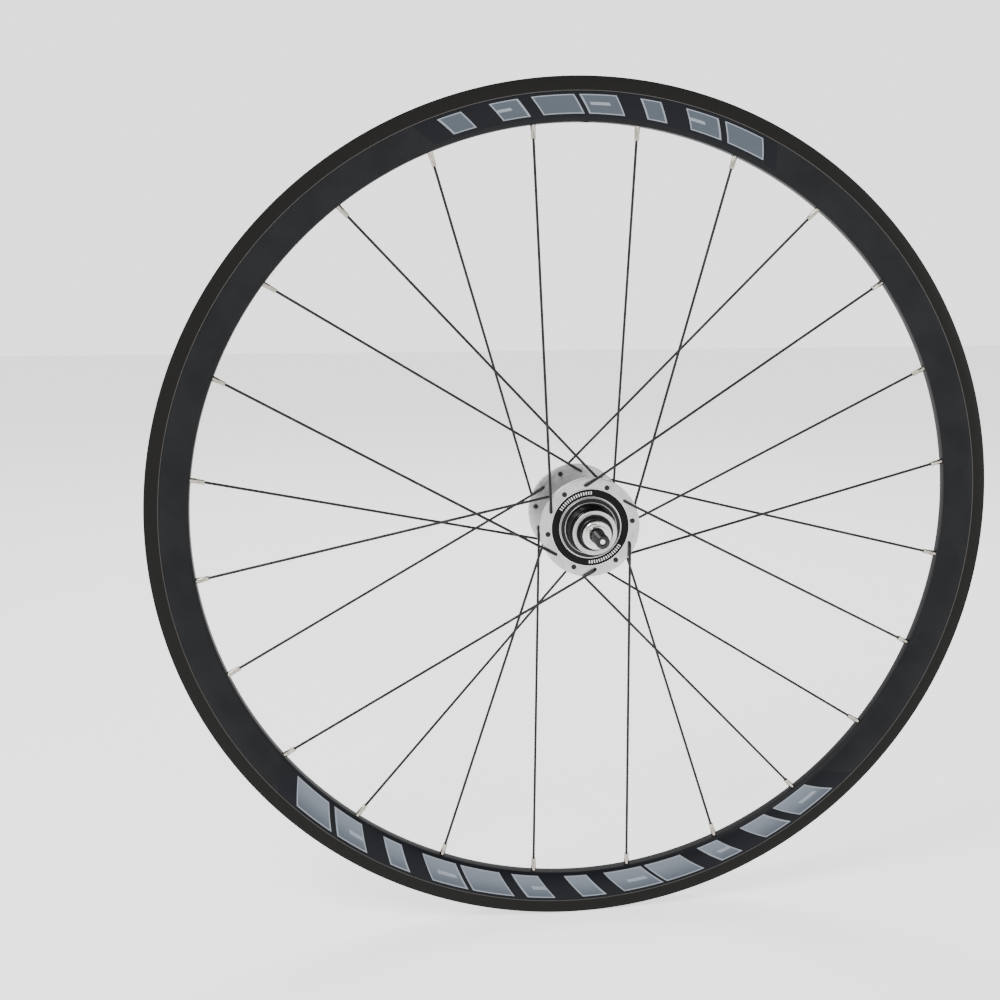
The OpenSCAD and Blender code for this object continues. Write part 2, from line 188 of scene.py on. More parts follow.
class Number:
    """A socket that holds a number. Each operator adds the Math node that does it."""

    def __init__(self, graph: Graph, socket: bpy.types.NodeSocket) -> None:
        """Wraps a socket.

        Args:
            graph: the graph it belongs to.
            socket: the output that gives the number.
        """
        self.graph = graph
        self.socket = socket

    def _math(self, operation: str, *terms: object) -> "Number":
        """Adds a Math node.

        Args:
            operation: the node's operation.
            terms: its inputs in order.

        Returns:
            Its result.
        """
        made = self.graph.node("ShaderNodeMath", {"operation": operation})
        for place, term in enumerate(terms):
            self.graph.feed(made.inputs[place], term)
        return Number(self.graph, made.outputs[0])

    def __add__(self, other: object) -> "Number":
        """Sum."""
        return self._math("ADD", self, other)

    __radd__ = __add__

    def __sub__(self, other: object) -> "Number":
        """Difference."""
        return self._math("SUBTRACT", self, other)

    def __rsub__(self, other: object) -> "Number":
        """Difference, the other way round."""
        return self._math("SUBTRACT", other, self)

    def __mul__(self, other: object) -> "Number":
        """Product."""
        return self._math("MULTIPLY", self, other)

    __rmul__ = __mul__

    def __truediv__(self, other: object) -> "Number":
        """Quotient."""
        return self._math("DIVIDE", self, other)

    def __gt__(self, other: object) -> "Number":
        """1 where this is greater, 0 elsewhere."""
        return self._math("GREATER_THAN", self, other)

    def __lt__(self, other: object) -> "Number":
        """1 where this is less, 0 elsewhere."""
        return self._math("LESS_THAN", self, other)

    def least(self, other: object) -> "Number":
        """The smaller of the two."""
        return self._math("MINIMUM", self, other)

    def most(self, other: object) -> "Number":
        """The greater of the two."""
        return self._math("MAXIMUM", self, other)

    def size(self) -> "Number":
        """The number without its sign."""
        return self._math("ABSOLUTE", self)

    def root(self) -> "Number":
        """Square root."""
        return self._math("SQRT", self)

    def sine(self) -> "Number":
        """Sine of an angle in radians."""
        return self._math("SINE", self)

    def cosine(self) -> "Number":
        """Cosine of an angle in radians."""
        return self._math("COSINE", self)

    def angle_over(self, other: object) -> "Number":
        """Angle whose tangent is this over the other one, in radians."""
        return self._math("ARCTAN2", self, other)

    def fraction(self) -> "Number":
        """What is left after the whole number below."""
        return self._math("FRACT", self)

    def nearest(self) -> "Number":
        """The nearest whole number."""
        return self._math("ROUND", self)

    def left_over(self, other: object) -> "Number":
        """What is left after dividing by a whole number, never below 0."""
        return self._math("FLOORED_MODULO", self, other)

    def step(self, start: float, end: float, low: float = 0.0, high: float = 1.0) -> "Number":
        """Goes smoothly from low to high.

        Args:
            start: where it leaves low.
            end: where it reaches high.
            low: the result before start.
            high: the result after end.

        Returns:
            The eased number.
        """
        made = self.graph.node("ShaderNodeMapRange", {"interpolation_type": "SMOOTHSTEP"})
        for place, term in enumerate((self, start, end, low, high)):
            self.graph.feed(made.inputs[place], term)
        return Number(self.graph, made.outputs[0])


class ShapeTree(Graph):
    """A Geometry Nodes tree with named inputs."""

    def __init__(self, name: str, **inputs: tuple[str, object]) -> None:
        """Makes the tree and its inputs.

        Args:
            name: the tree's name.
            inputs: the socket type and starting value of each input, by name.
        """
        super().__init__(bpy.data.node_groups.new(name, "GeometryNodeTree"))
        face = self.tree.interface
        face.new_socket("Geometry", in_out="INPUT", socket_type="NodeSocketGeometry")
        for title, (kind, value) in inputs.items():
            made = face.new_socket(title.replace("_", " "), in_out="INPUT", socket_type=kind)
            if value is not None:
                made.default_value = value
        face.new_socket("Geometry", in_out="OUTPUT", socket_type="NodeSocketGeometry")
        self.start = self.tree.nodes.new("NodeGroupInput")

    def given(self, title: str) -> bpy.types.NodeSocket:
        """The tree's input of that name."""
        return self.start.outputs[title]

    def amount(self, title: str) -> Number:
        """The tree's input of that name, as a number."""
        return self.number(self.start.outputs[title])

    def close(self, geometry: bpy.types.NodeSocket, smooth: bool = True) -> None:
        """Ends the tree in Realize Instances and Set Material.

        Args:
            geometry: what the tree has made.
            smooth: whether its faces are shaded smooth.
        """
        real = self.node("GeometryNodeRealizeInstances", Geometry=geometry).outputs[0]
        shaded = self.node("GeometryNodeSetShadeSmooth", Geometry=real, Shade_Smooth=smooth).outputs[0]
        dressed = self.node("GeometryNodeSetMaterial", Geometry=shaded, Material=self.given("Finish"))
        end = self.tree.nodes.new("NodeGroupOutput")
        self.tree.links.new(dressed.outputs[0], end.inputs[0])

    def grow(self, name: str, seed: bpy.types.Mesh, **values: object) -> bpy.types.Mesh:
        """Runs the tree on a mesh and gives the result as a plain mesh.

        Args:
            name: the name of the mesh that comes out.
            seed: the mesh that the tree starts from.
            values: the inputs by name, with _ for a space.

        Returns:
            The new mesh.
        """
        carrier = bpy.data.objects.new(name, seed)
        bpy.context.scene.collection.objects.link(carrier)
        modifier = carrier.modifiers.new("shape", "NODES")
        modifier.node_group = self.tree
        places = {
            item.name: item.identifier
            for item in self.tree.interface.items_tree
            if item.item_type == "SOCKET" and item.in_out == "INPUT"
        }
        for title, value in values.items():
            modifier[places[title.replace("_", " ")]] = value
        bpy.context.view_layer.update()
        graph = bpy.context.evaluated_depsgraph_get()
        made = bpy.data.meshes.new_from_object(carrier.evaluated_get(graph), depsgraph=graph)
        bpy.data.objects.remove(carrier)
        made.name = name
        return made


FINISH = ("NodeSocketMaterial", None)


def outline_tree() -> ShapeTree:
    """Tree that turns an outline round the Y axis, with screw threads and flats where it has them.

    Returns:
        The tree. Each point of its seed mesh lies at (radius, height), and holds crest, the outer
        radius of a thread or 0, and flat, half the distance across its flats or a large number.
    """
    g = ShapeTree(
        "turned_outline",
        Points=("NodeSocketInt", 4),
        Segments=("NodeSocketInt", 96),
        Pitch=("NodeSocketFloat", 0.001),
        Thread_Depth=("NodeSocketFloat", 0.0),
        Finish=FINISH,
    )
    grid = g.node(
        "GeometryNodeMeshGrid",
        Size_X=1.0,
        Size_Y=1.0,
        Vertices_X=g.amount("Points") + 1,
        Vertices_Y=g.amount("Segments") + 1,
    ).outputs[0]
    place = g.node("ShaderNodeSeparateXYZ", Vector=g.node("GeometryNodeInputPosition").outputs[0])
    index = ((g.number(place.outputs[0]) + 0.5) * g.amount("Points")).nearest().left_over(g.amount("Points"))
    turn = g.number(place.outputs[1]) + 0.5
    angle = turn * math.tau

    def sampled(kind: str, value: bpy.types.NodeSocket) -> bpy.types.NodeSocket:
        """The value that the outline holds at this point of the grid."""
        return g.node(
            "GeometryNodeSampleIndex",
            {"data_type": kind, "domain": "POINT"},
            Geometry=g.given("Geometry"),
            Value=value,
            Index=index,
        ).outputs[0]

    def held(title: str) -> Number:
        """A number that the outline's points hold by name."""
        named = g.node("GeometryNodeInputNamedAttribute", {"data_type": "FLOAT"}, Name=title)
        return g.number(sampled("FLOAT", named.outputs[0]))

    spot = g.node(
        "ShaderNodeSeparateXYZ",
        Vector=sampled("FLOAT_VECTOR", g.node("GeometryNodeInputPosition").outputs[0]),
    )
    radius, height = g.number(spot.outputs[0]), g.number(spot.outputs[1])
    crest, flat = held("crest"), held("flat")
    wave = ((height / g.amount("Pitch") + turn).fraction() * 2.0 - 1.0).size()
    groove = (wave * 1.5 - 0.25).most(0.0).least(1.0) * g.amount("Thread Depth")
    cut = (radius - crest + groove).most(0.0) * (crest > 0.0)
    left = radius - cut
    across = (left * angle.sine()).least(flat).most(flat * -1.0)
    set_to = g.node(
        "GeometryNodeSetPosition",
        Geometry=grid,
        Position=g.node("ShaderNodeCombineXYZ", X=left * angle.cosine(), Y=height, Z=across).outputs[0],
    ).outputs[0]
    g.close(g.node("GeometryNodeMergeByDistance", Geometry=set_to, Distance=2e-6).outputs[0])
    return g


def bored_tree() -> ShapeTree:
    """Tree that takes a hollow and a set of round holes out of a solid.

    Returns:
        The tree. The points of its Holes object hold way, radius and depth.
    """
    g = ShapeTree(
        "bored_holes",
        Holes=("NodeSocketObject", None),
        Hollow=("NodeSocketObject", None),
        Sides=("NodeSocketInt", 24),
        Finish=FINISH,
    )
    drill = g.node(
        "GeometryNodeMeshCylinder", Vertices=g.given("Sides"), Radius=1.0, Depth=1.0
    ).outputs["Mesh"]
    points = g.node("GeometryNodeObjectInfo", Object=g.given("Holes")).outputs["Geometry"]
    way = g.node("GeometryNodeInputNamedAttribute", {"data_type": "FLOAT_VECTOR"}, Name="way").outputs[0]
    radius = g.node("GeometryNodeInputNamedAttribute", {"data_type": "FLOAT"}, Name="radius").outputs[0]
    depth = g.node("GeometryNodeInputNamedAttribute", {"data_type": "FLOAT"}, Name="depth").outputs[0]
    drills = g.node(
        "GeometryNodeInstanceOnPoints",
        Points=points,
        Instance=drill,
        Rotation=g.node("FunctionNodeAlignRotationToVector", {"axis": "Z"}, Vector=way).outputs[0],
        Scale=g.node("ShaderNodeCombineXYZ", X=radius, Y=radius, Z=depth).outputs[0],
    ).outputs[0]
    drills = g.node("GeometryNodeRealizeInstances", Geometry=drills).outputs[0]
    hollow = g.node("GeometryNodeObjectInfo", Object=g.given("Hollow")).outputs["Geometry"]
    cut = g.node("GeometryNodeMeshBoolean", {"operation": "DIFFERENCE", "solver": "MANIFOLD"})
    g.feed(cut.inputs["Mesh 1"], g.given("Geometry"))
    g.feed(cut.inputs["Mesh 2"], hollow)
    g.feed(cut.inputs["Mesh 2"], drills)
    g.close(cut.outputs[0])
    return g


def ring_tree() -> ShapeTree:
    """Tree that sets copies of a mesh at equal steps round the Y axis.

    Returns:
        The tree.
    """
    g = ShapeTree("ring_of_copies", Count=("NodeSocketInt", 6), Finish=FINISH)
    spots = g.node("GeometryNodeMeshLine", {"mode": "OFFSET"}, Count=g.given("Count"), Offset=(0.0, 0.0, 0.0))
    step = g.number(g.node("GeometryNodeInputIndex").outputs[0]) * -math.tau / g.amount("Count")
    copies = g.node(
        "GeometryNodeInstanceOnPoints",
        Points=spots.outputs[0],
        Instance=g.given("Geometry"),
        Rotation=g.node("ShaderNodeCombineXYZ", X=0.0, Y=step, Z=0.0).outputs[0],
    )
    g.close(copies.outputs[0])
    return g


def wire_tree() -> ShapeTree:
    """Tree that draws a wire of changing thickness along a path and repeats it round the Y axis.

    Returns:
        The tree. Each point of its seed mesh holds thick, the wire's radius there.
    """
    g = ShapeTree("drawn_wire", Count=("NodeSocketInt", 6), Sides=("NodeSocketInt", 16), Finish=FINISH)
    path = g.node("GeometryNodeMeshToCurve", Mesh=g.given("Geometry")).outputs[0]
    thick = g.node("GeometryNodeInputNamedAttribute", {"data_type": "FLOAT"}, Name="thick").outputs[0]
    path = g.node("GeometryNodeSetCurveRadius", Curve=path, Radius=thick).outputs[0]
    section = g.node("GeometryNodeCurvePrimitiveCircle", Resolution=g.given("Sides"), Radius=1.0).outputs[0]
    sweep = g.node("GeometryNodeCurveToMesh", Curve=path, Profile_Curve=section, Fill_Caps=True)
    if "Scale" in sweep.inputs:
        g.feed(sweep.inputs["Scale"], thick)
    spots = g.node("GeometryNodeMeshLine", {"mode": "OFFSET"}, Count=g.given("Count"), Offset=(0.0, 0.0, 0.0))
    step = g.number(g.node("GeometryNodeInputIndex").outputs[0]) * -math.tau / g.amount("Count")
    copies = g.node(
        "GeometryNodeInstanceOnPoints",
        Points=spots.outputs[0],
        Instance=sweep.outputs[0],
        Rotation=g.node("ShaderNodeCombineXYZ", X=0.0, Y=step, Z=0.0).outputs[0],
    )
    g.close(copies.outputs[0])
    return g


# ---------------------------------------------------------------- meshes


def mesh_of(name: str, points: np.ndarray, edges: list, faces: list, **held: np.ndarray) -> bpy.types.Mesh:
    """Makes a mesh.

    Args:
        name: the mesh's name.
        points: its points in metres.
        edges: pairs of point numbers.
        faces: tuples of point numbers.
        held: numbers or vectors that the points hold, by name.

    Returns:
        The mesh.
    """
    made = bpy.data.meshes.new(name)
    made.from_pydata([tuple(map(float, p)) for p in points], edges, faces)
    for title, values in held.items():
        values = np.asarray(values, np.float32)
        kind, slot = ("FLOAT_VECTOR", "vector") if values.ndim == 2 else ("FLOAT", "value")
        made.attributes.new(title, kind, "POINT").data.foreach_set(slot, values.ravel())
    made.update()
    return made


def cleaned(made: bpy.types.Mesh, sharp_from: float = 32.0) -> bpy.types.Mesh:
    """Merges doubles, drops loose edges, turns faces outwards and marks sharp edges.

    Args:
        made: the mesh, which is changed.
        sharp_from: the angle in degrees from which an edge looks sharp.

    Returns:
        The same mesh.
    """
    work = bmesh.new()
    work.from_mesh(made)
    bmesh.ops.remove_doubles(work, verts=work.verts, dist=1e-6)
    bmesh.ops.delete(work, geom=[e for e in work.edges if not e.link_faces], context="EDGES")
    bmesh.ops.delete(work, geom=[v for v in work.verts if not v.link_faces], context="VERTS")
    bmesh.ops.recalc_face_normals(work, faces=work.faces)
    work.to_mesh(made)
    work.free()
    for leftover in [
        a.name for a in made.attributes if a.name in ("crest", "flat", "thick", "way", "radius", "depth")
    ]:
        made.attributes.remove(made.attributes[leftover])
    made.shade_smooth()
    made.set_sharp_from_angle(angle=math.radians(sharp_from))
    made.update()
    return made


@dataclass
class Outline:
    """A closed section in radius and height, to be turned round the Y axis. Sizes in millimetres."""

    pitch: float = 1.0
    thread_depth: float = 0.0
    stations: list[tuple[float, float, float, float, float]] = field(default_factory=list)

    def to(self, r: float, y: float, rounding: float = 0.0, flat: float = 1000.0) -> "Outline":
        """Goes straight to a point.

        Args:
            r: its radius.
            y: its height along Y.
            rounding: radius that its corner is rounded to.
            flat: half the distance across the flats there.

        Returns:
            The outline itself.
        """
        self.stations.append((r, y, rounding, flat, 0.0))
        return self

    def thread(self, r: float, y: float, chamfer: float = 0.5) -> "Outline":
        """Goes along a screw thread from the last point's height to this one, with a chamfer at its end.

        Args:
            r: radius of the crests.
            y: height where the thread ends.
            chamfer: size of the chamfer at that end.

        Returns:
            The outline itself.
        """
        start = self.stations[-1][1]
        way = 1.0 if y > start else -1.0
        count = max(2, round(abs(y - start) / self.pitch * 10))
        for height in np.linspace(start, y, count + 1):
            spare = abs(y - height)
            radius = r if spare > chamfer else r - (chamfer - spare)
            self.stations.append((radius, float(height) + way * 1e-4, 0.0, 1000.0, r))
        return self

    def points(self) -> np.ndarray:
        """Every point with its corners rounded, as rows of radius, height, flat and crest.

        Returns:
            The rows, counter-clockwise.
        """
        rows = []
        count = len(self.stations)
        for place, (r, y, rounding, flat, crest) in enumerate(self.stations):
            here = np.array([r, y])
            if rounding <= 0:
                rows.append((r, y, flat, crest))
                continue
            before = np.array(self.stations[place - 1][:2]) - here
            after = np.array(self.stations[(place + 1) % count][:2]) - here
            before_l, after_l = np.linalg.norm(before), np.linalg.norm(after)
            before, after = before / before_l, after / after_l
            half = math.acos(max(-1.0, min(1.0, float(before @ after)))) / 2
            reach = min(rounding / math.tan(half), 0.45 * before_l, 0.45 * after_l)
            true = reach * math.tan(half)
            middle = here + (before + after) / np.linalg.norm(before + after) * true / math.sin(half)
            first, last = here + before * reach - middle, here + after * reach - middle
            sweep = math.atan2(first[0] * last[1] - first[1] * last[0], float(first @ last))
            steps = 4 if true < 1.0 else 8
            for share in np.linspace(0.0, 1.0, steps + 1):
                c, s = math.cos(sweep * share), math.sin(sweep * share)
                spot = middle + np.array([first[0] * c - first[1] * s, first[0] * s + first[1] * c])
                rows.append((spot[0], spot[1], flat, crest))
        made = np.array(rows)
        after = np.roll(made, -1, axis=0)
        if float(np.sum(made[:, 0] * after[:, 1] - after[:, 0] * made[:, 1])) < 0:
            made = made[::-1]
        return made


@dataclass
class Hole:
    """A round hole, by its middle, the way it runs, its radius and its depth, in millimetres."""

    middle: tuple[float, float, float]
    way: tuple[float, float, float]
    radius: float
    depth: float


class Workshop:
    """Makes every mesh and puts every finished piece on its body."""

    def __init__(self) -> None:
        """Makes the trees that the pieces share."""
        self.turning = outline_tree()
        self.boring = bored_tree()
        self.ringing = ring_tree()
        self.drawing = wire_tree()

    def turned(
        self, name: str, outline: Outline, finish: bpy.types.Material, segments: int = 128
    ) -> bpy.types.Mesh:
        """Turns an outline round the Y axis.

        Args:
            name: the mesh's name.
            outline: the section.
            finish: the material.
            segments: steps round the axis.

        Returns:
            The closed mesh.
        """
        rows = outline.points()
        seed = mesh_of(
            name + "_outline",
            np.column_stack([rows[:, 0] * MM, rows[:, 1] * MM, np.zeros(len(rows))]),
            [(i, (i + 1) % len(rows)) for i in range(len(rows))],
            [],
            crest=rows[:, 3] * MM,
            flat=rows[:, 2] * MM,
        )
        return self.turning.grow(
            name,
            seed,
            Points=len(rows),
            Segments=segments,
            Pitch=outline.pitch * MM,
            Thread_Depth=outline.thread_depth * MM,
            Finish=finish,
        )

    def bored(
        self,
        name: str,
        solid: bpy.types.Mesh,
        hollow: bpy.types.Mesh,
        holes: list[Hole],
        finish: bpy.types.Material,
        sides: int = 24,
    ) -> bpy.types.Mesh:
        """Takes a hollow and holes out of a solid.

        Args:
            name: the new mesh's name.
            solid: what is bored.
            hollow: a second mesh that is taken out of it.
            holes: the holes.
            finish: the material.
            sides: sides of each hole.

        Returns:
            The new mesh.
        """
        places = mesh_of(
            name + "_holes",
            np.array([h.middle for h in holes]) * MM,
            [],
            [],
            way=np.array([h.way for h in holes]),
            radius=np.array([h.radius for h in holes]) * MM,
            depth=np.array([h.depth for h in holes]) * MM,
        )
        helpers = []
        for title, data in (("holes", places), ("hollow", hollow)):
            helper = bpy.data.objects.new(f"{name}_{title}", data)
            bpy.context.scene.collection.objects.link(helper)
            helpers.append(helper)
        made = self.boring.grow(name, solid, Holes=helpers[0], Hollow=helpers[1], Sides=sides, Finish=finish)
        for helper in helpers:
            bpy.data.objects.remove(helper)
        return made

    def place(
        self,
        name: str,
        made: bpy.types.Mesh,
        body: str,
        slot: str,
        nodes: list[str],
        sharp_from: float = 32.0,
    ) -> bpy.types.Object:
        """Puts a finished mesh on its body in place of the nodes that it stands for.

        Args:
            name: the piece's name.
            made: its mesh.
            body: the body that it rides on.
            slot: the record's material slot; not used.
            nodes: the nodes that it stands for.
            sharp_from: the angle in degrees from which an edge looks sharp.

        Returns:
            The piece.
        """
        cleaned(made, sharp_from)
        piece = bpy.data.objects.new(name, made)
        bpy.context.scene.collection.objects.link(piece)
        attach(piece, body)
        if nodes:
            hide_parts(*nodes)
        LOG.info("%s: %d faces on %s, for %s", name, len(made.polygons), body, ", ".join(nodes))
        return piece


# ---------------------------------------------------------------- finishes


class Paint(Graph):
    """A material's tree, with what every finish starts from."""

    def __init__(self, name: str) -> None:
        """Makes the material with an empty Principled shader.

        Args:
            name: the material's name.
        """
        self.material = bpy.data.materials.new(name)
        self.material.use_nodes = True
        super().__init__(self.material.node_tree)
        self.shader = next(n for n in self.tree.nodes if n.type == "BSDF_PRINCIPLED")
        self.place = self.node("ShaderNodeTexCoord").outputs["Object"]
        parts = self.node("ShaderNodeSeparateXYZ", Vector=self.place)
        self.x, self.y, self.z = (self.number(out) for out in parts.outputs)
        self.radius = (self.x * self.x + self.z * self.z).root()
        self.angle = self.z.angle_over(self.x) * (180.0 / math.pi)

    def noise(self, scale: float, detail: float = 2.0, vector: object = None) -> Number:
        """A soft random number over the surface.

        Args:
            scale: how many features a metre holds.
            detail: how many finer layers it has.
            vector: where it is read, if not at the object's own place.

        Returns:
            The number, from 0 to 1.
        """
        made = self.node("ShaderNodeTexNoise", Scale=scale, Detail=detail, Vector=vector or self.place)
        return self.number(made.outputs[0])

    def turning_marks(self, scale: float) -> Number:
        """Fine rings left by a cutting tool, about the Y axis.

        Args:
            scale: how many features a metre holds.

        Returns:
            The number, from 0 to 1.
        """
        spot = self.node("ShaderNodeCombineXYZ", X=self.radius, Y=self.y, Z=0.0).outputs[0]
        return self.noise(scale, 3.0, spot)

    def bumped(self, height: Number, distance: float, strength: float = 1.0) -> None:
        """Raises the surface by a height.

        Args:
            height: the height's share.
            distance: the height in metres where the share is 1.
            strength: how much of it shows.
        """
        bump = self.node("ShaderNodeBump", Height=height, Distance=distance, Strength=strength)
        self.tree.links.new(bump.outputs[0], self.shader.inputs["Normal"])

    def coat(self, **sockets: object) -> bpy.types.Material:
        """Sets the shader's sockets and gives the finished material.

        Args:
            sockets: values or links by input name, with _ for a space.

        Returns:
            The material.
        """
        for title, value in sockets.items():
            self.feed(self.shader.inputs[title.replace("_", " ")], value)
        return self.material


@dataclass(frozen=True)
class RimAnodising:
    """Black satin anodising with machined brake tracks and a printed band of slanted bars."""

    crease_mm: float = 307.0
    bar_first_deg: float = 222.0
    bar_last_deg: float = 311.0
    top_first_deg: float = 64.0
    top_last_deg: float = 111.0
    low_row: tuple = (0.2885, 0.3052, 12)
    high_row: tuple = (0.2915, 0.3050, 7)

    def bars(self, p: Paint, first: float, last: float, low: float, high: float, count: int) -> tuple:
        """Masks of one row of slanted bars.

        Args:
            p: the paint.
            first: angle where the row starts, in degrees.
            last: angle where it ends.
            low: radius of the bars' feet, in metres.
            high: radius of their tops.
            count: how many bars the row has.

        Returns:
            The masks of the bars' fill, their light edge, and the dark ground they lie on, and the
            share of the way up each bar.
        """
        angle = p.angle + (p.angle < 0.0) * 360.0
        rise = (p.radius - low) / (high - low)
        along = (angle - first) / (last - first) + (rise - 0.5) * -0.035
        inside = (along > 0.0) * (along < 1.0)
        beat = along * float(count)
        wobble = (beat * 1.7 + 0.6).sine() * 0.13
        gap = (beat.fraction() - 0.5).size() - wobble
        slot = ((rise - 0.52).size() < 0.07) * ((beat.fraction() - 0.62).size() < 0.2)
        notch = ((beat * 0.5).fraction() > 0.5) * slot
        tall = (rise - 0.5).size()
        body = (gap < 0.30) * (tall < 0.42) * inside * (1.0 - notch)
        frame = (gap < 0.335) * (tall < 0.47) * inside - body
        ground = (tall < 0.62) * ((along - 0.5).size() < 0.535)
        return body, frame.most(0.0), ground, rise

    def make(self) -> bpy.types.Material:
        """Makes the material.

        Returns:
            The material.
        """
        p = Paint("black_anodised_rim")
        track = p.radius.step(self.crease_mm * MM - 0.0003, self.crease_mm * MM + 0.0001)
        side = (p.y.size()).step(0.0028, 0.0045)
        grain = p.noise(5200.0, 3.0)
        cloud = p.noise(38.0, 3.0)
        marks = p.turning_marks(9000.0)
        low = self.bars(p, self.bar_first_deg, self.bar_last_deg, *self.low_row)
        high = self.bars(p, self.top_first_deg, self.top_last_deg, *self.high_row)
        body = (low[0] + high[0]).least(1.0) * side * (1.0 - track)
        frame = (low[1] + high[1]).least(1.0) * side * (1.0 - track)
        ground = (low[2] + high[2]).least(1.0) * side * (1.0 - track)
        plain = p.mix(cloud.step(0.3, 0.7), (0.0055, 0.0058, 0.0068, 1), (0.0085, 0.0088, 0.0102, 1))
        plain = p.mix(track, plain, p.mix(marks, (0.0025, 0.0023, 0.0019, 1), (0.0075, 0.0072, 0.0062, 1)))
        plain = p.mix(ground * 0.85, plain, (0.0040, 0.0048, 0.0068, 1))
        shade = (low[3] * (1.0 - high[2]) + high[3] * high[2]).step(0.0, 1.0)
        fill_low = p.mix(shade, (0.145, 0.165, 0.195, 1), (0.065, 0.077, 0.095, 1))
        fill = p.mix(high[2], fill_low, (0.06, 0.072, 0.088, 1))
        # painted highlight: a thin lighter line just outside the crease stands in for the light that the
        # groove's edge catches
        crease = ((p.radius - (self.crease_mm + 0.1) * MM).size() < 0.00022) * side
        plain = p.mix(crease * 0.8, plain, (0.075, 0.073, 0.070, 1))
        colour = p.mix(body, plain, fill)
        colour = p.mix(frame * 0.8, colour, (0.25, 0.275, 0.315, 1))
        rough = grain * 0.10 + 0.36 + cloud * 0.06 - track * 0.08 + (body + frame) * 0.05
        p.bumped(grain * (1.0 - track) + marks * track * 0.8 + (body + frame) * 2.5, 0.000006)
        return p.coat(
            Base_Color=colour, Roughness=rough, Metallic=0.0, IOR=1.5, Specular_IOR_Level=0.11
        )


@dataclass(frozen=True)
class TurnedSilver:
    """Turned and polished aluminium or steel, with fine rings round the axle.

    Past dark_drive_mm or dark_far_mm along the axle, and inside dark_r_mm, the surface is painted dark as
    shade on the recessed threads, up to the bright ends. The shoulder and boss edges keep the silver
    tone and show as painted highlight rings.
    """

    name: str
    low: tuple = (0.33, 0.33, 0.335, 1)
    high: tuple = (0.60, 0.59, 0.58, 1)
    roughness: float = 0.24
    spread: float = 0.12
    mark_scale: float = 5200.0
    mark_height: float = 0.0000035
    dark_r_mm: float = 0.0
    dark_drive_mm: float = 31.2
    dark_far_mm: float = 34.0
    end_drive_mm: float = 48.4
    end_far_mm: float = 44.1
    pocket_r_mm: float = 13.2
    shoulder_edge_mm: float = 19.0
    boss_edge_mm: float = 22.2

    def oiled(self, p: Paint) -> Number:
        """Where the recessed threads are painted dark as shade.

        Args:
            p: the paint.

        Returns:
            The mask, 1 where it is dark.
        """
        drive = p.y < 0.0
        along = p.y.size() * 1000.0
        start = drive * (self.dark_drive_mm - self.dark_far_mm) + self.dark_far_mm
        end = drive * (self.end_drive_mm - self.end_far_mm) + self.end_far_mm
        outward = (along > start) * (along < end - 0.45)
        return outward * (p.radius * 1000.0 < self.dark_r_mm) * (p.radius * 1000.0 > self.pocket_r_mm)

    def make(self) -> bpy.types.Material:
        """Makes the material.

        Returns:
            The material.
        """
        p = Paint(self.name)
        marks = p.turning_marks(self.mark_scale)
        cloud = p.noise(170.0, 4.0)
        speck = p.noise(2600.0, 2.0)
        colour = p.mix((marks * 0.6 + cloud * 0.4).step(0.25, 0.75), self.low, self.high)
        rough = cloud * self.spread + self.roughness + (speck - 0.5) * 0.06
        if self.dark_r_mm > 0:
            # painted shade: the recessed threads inside dark_r_mm are darkened in the base colour, as if in
            # shadow
            painted_shade = self.oiled(p)
            # painted highlight: the painted shade is lifted at the shoulder and boss edges, leaving bright
            # rings
            shoulder = (p.radius * 1000.0 - self.shoulder_edge_mm).size() < 0.22
            boss = (p.radius * 1000.0 - self.boss_edge_mm).size() < 0.3
            lip = shoulder.most(boss)
            painted_shade = painted_shade * (1.0 - lip * 0.8)
            # dark tone of the painted shade
            dark = p.mix(marks.step(0.35, 0.65), (0.004, 0.004, 0.004, 1), (0.035, 0.035, 0.035, 1))
            colour = p.mix(painted_shade, colour, dark)
            rough = rough - painted_shade * 0.04
        p.bumped(marks + speck * 0.2, self.mark_height)
        return p.coat(Base_Color=colour, Roughness=rough, Metallic=1.0)


@dataclass(frozen=True)
class BandPrint:
    """Black anodised band with bright machined edges and two arcs of plain index marks."""

    inner_mm: float = 22.45
    outer_mm: float = 28.95
    middle_mm: float = 25.7
    tick_half_mm: float = 1.15
    arc_middles_deg: tuple = (118.0, 298.0)
    arc_deg: float = 62.0
    ticks: float = 15.0
    tick_share: float = 0.22

    def make(self) -> bpy.types.Material:
        """Makes the material.

        Returns:
            The material.
        """
        p = Paint("black_band")
        grain = p.noise(4200.0, 3.0)
        marks = p.turning_marks(6500.0)
        rim = (p.radius - self.inner_mm * MM).least(self.outer_mm * MM - p.radius)
        bright = rim.step(0.00035, 0.0005, 1.0, 0.0)
        angle = p.angle + (p.angle < 0.0) * 360.0
        rise = (p.radius * 1000.0 - self.middle_mm).size()
        mask = None
        for middle in self.arc_middles_deg:
            along = (angle - middle) / self.arc_deg + 0.5
            inside = (along > 0.0) * (along < 1.0)
            tick = ((along * self.ticks).fraction() - 0.5).size() < self.tick_share
            one = inside * tick * (rise < self.tick_half_mm)
            mask = one if mask is None else mask + one
        mask = mask.least(1.0)
        colour = p.mix(grain, (0.003, 0.003, 0.003, 1), (0.006, 0.006, 0.006, 1))
        colour = p.mix(mask, colour, (0.72, 0.72, 0.71, 1))
        colour = p.mix(bright, colour, (0.78, 0.78, 0.79, 1))
        rough = grain * 0.1 + 0.3 - bright * 0.1 + mask * 0.12
        p.bumped(marks + mask * 3.0, 0.000004)
        return p.coat(Base_Color=colour, Roughness=rough, Metallic=bright, Specular_IOR_Level=0.08)


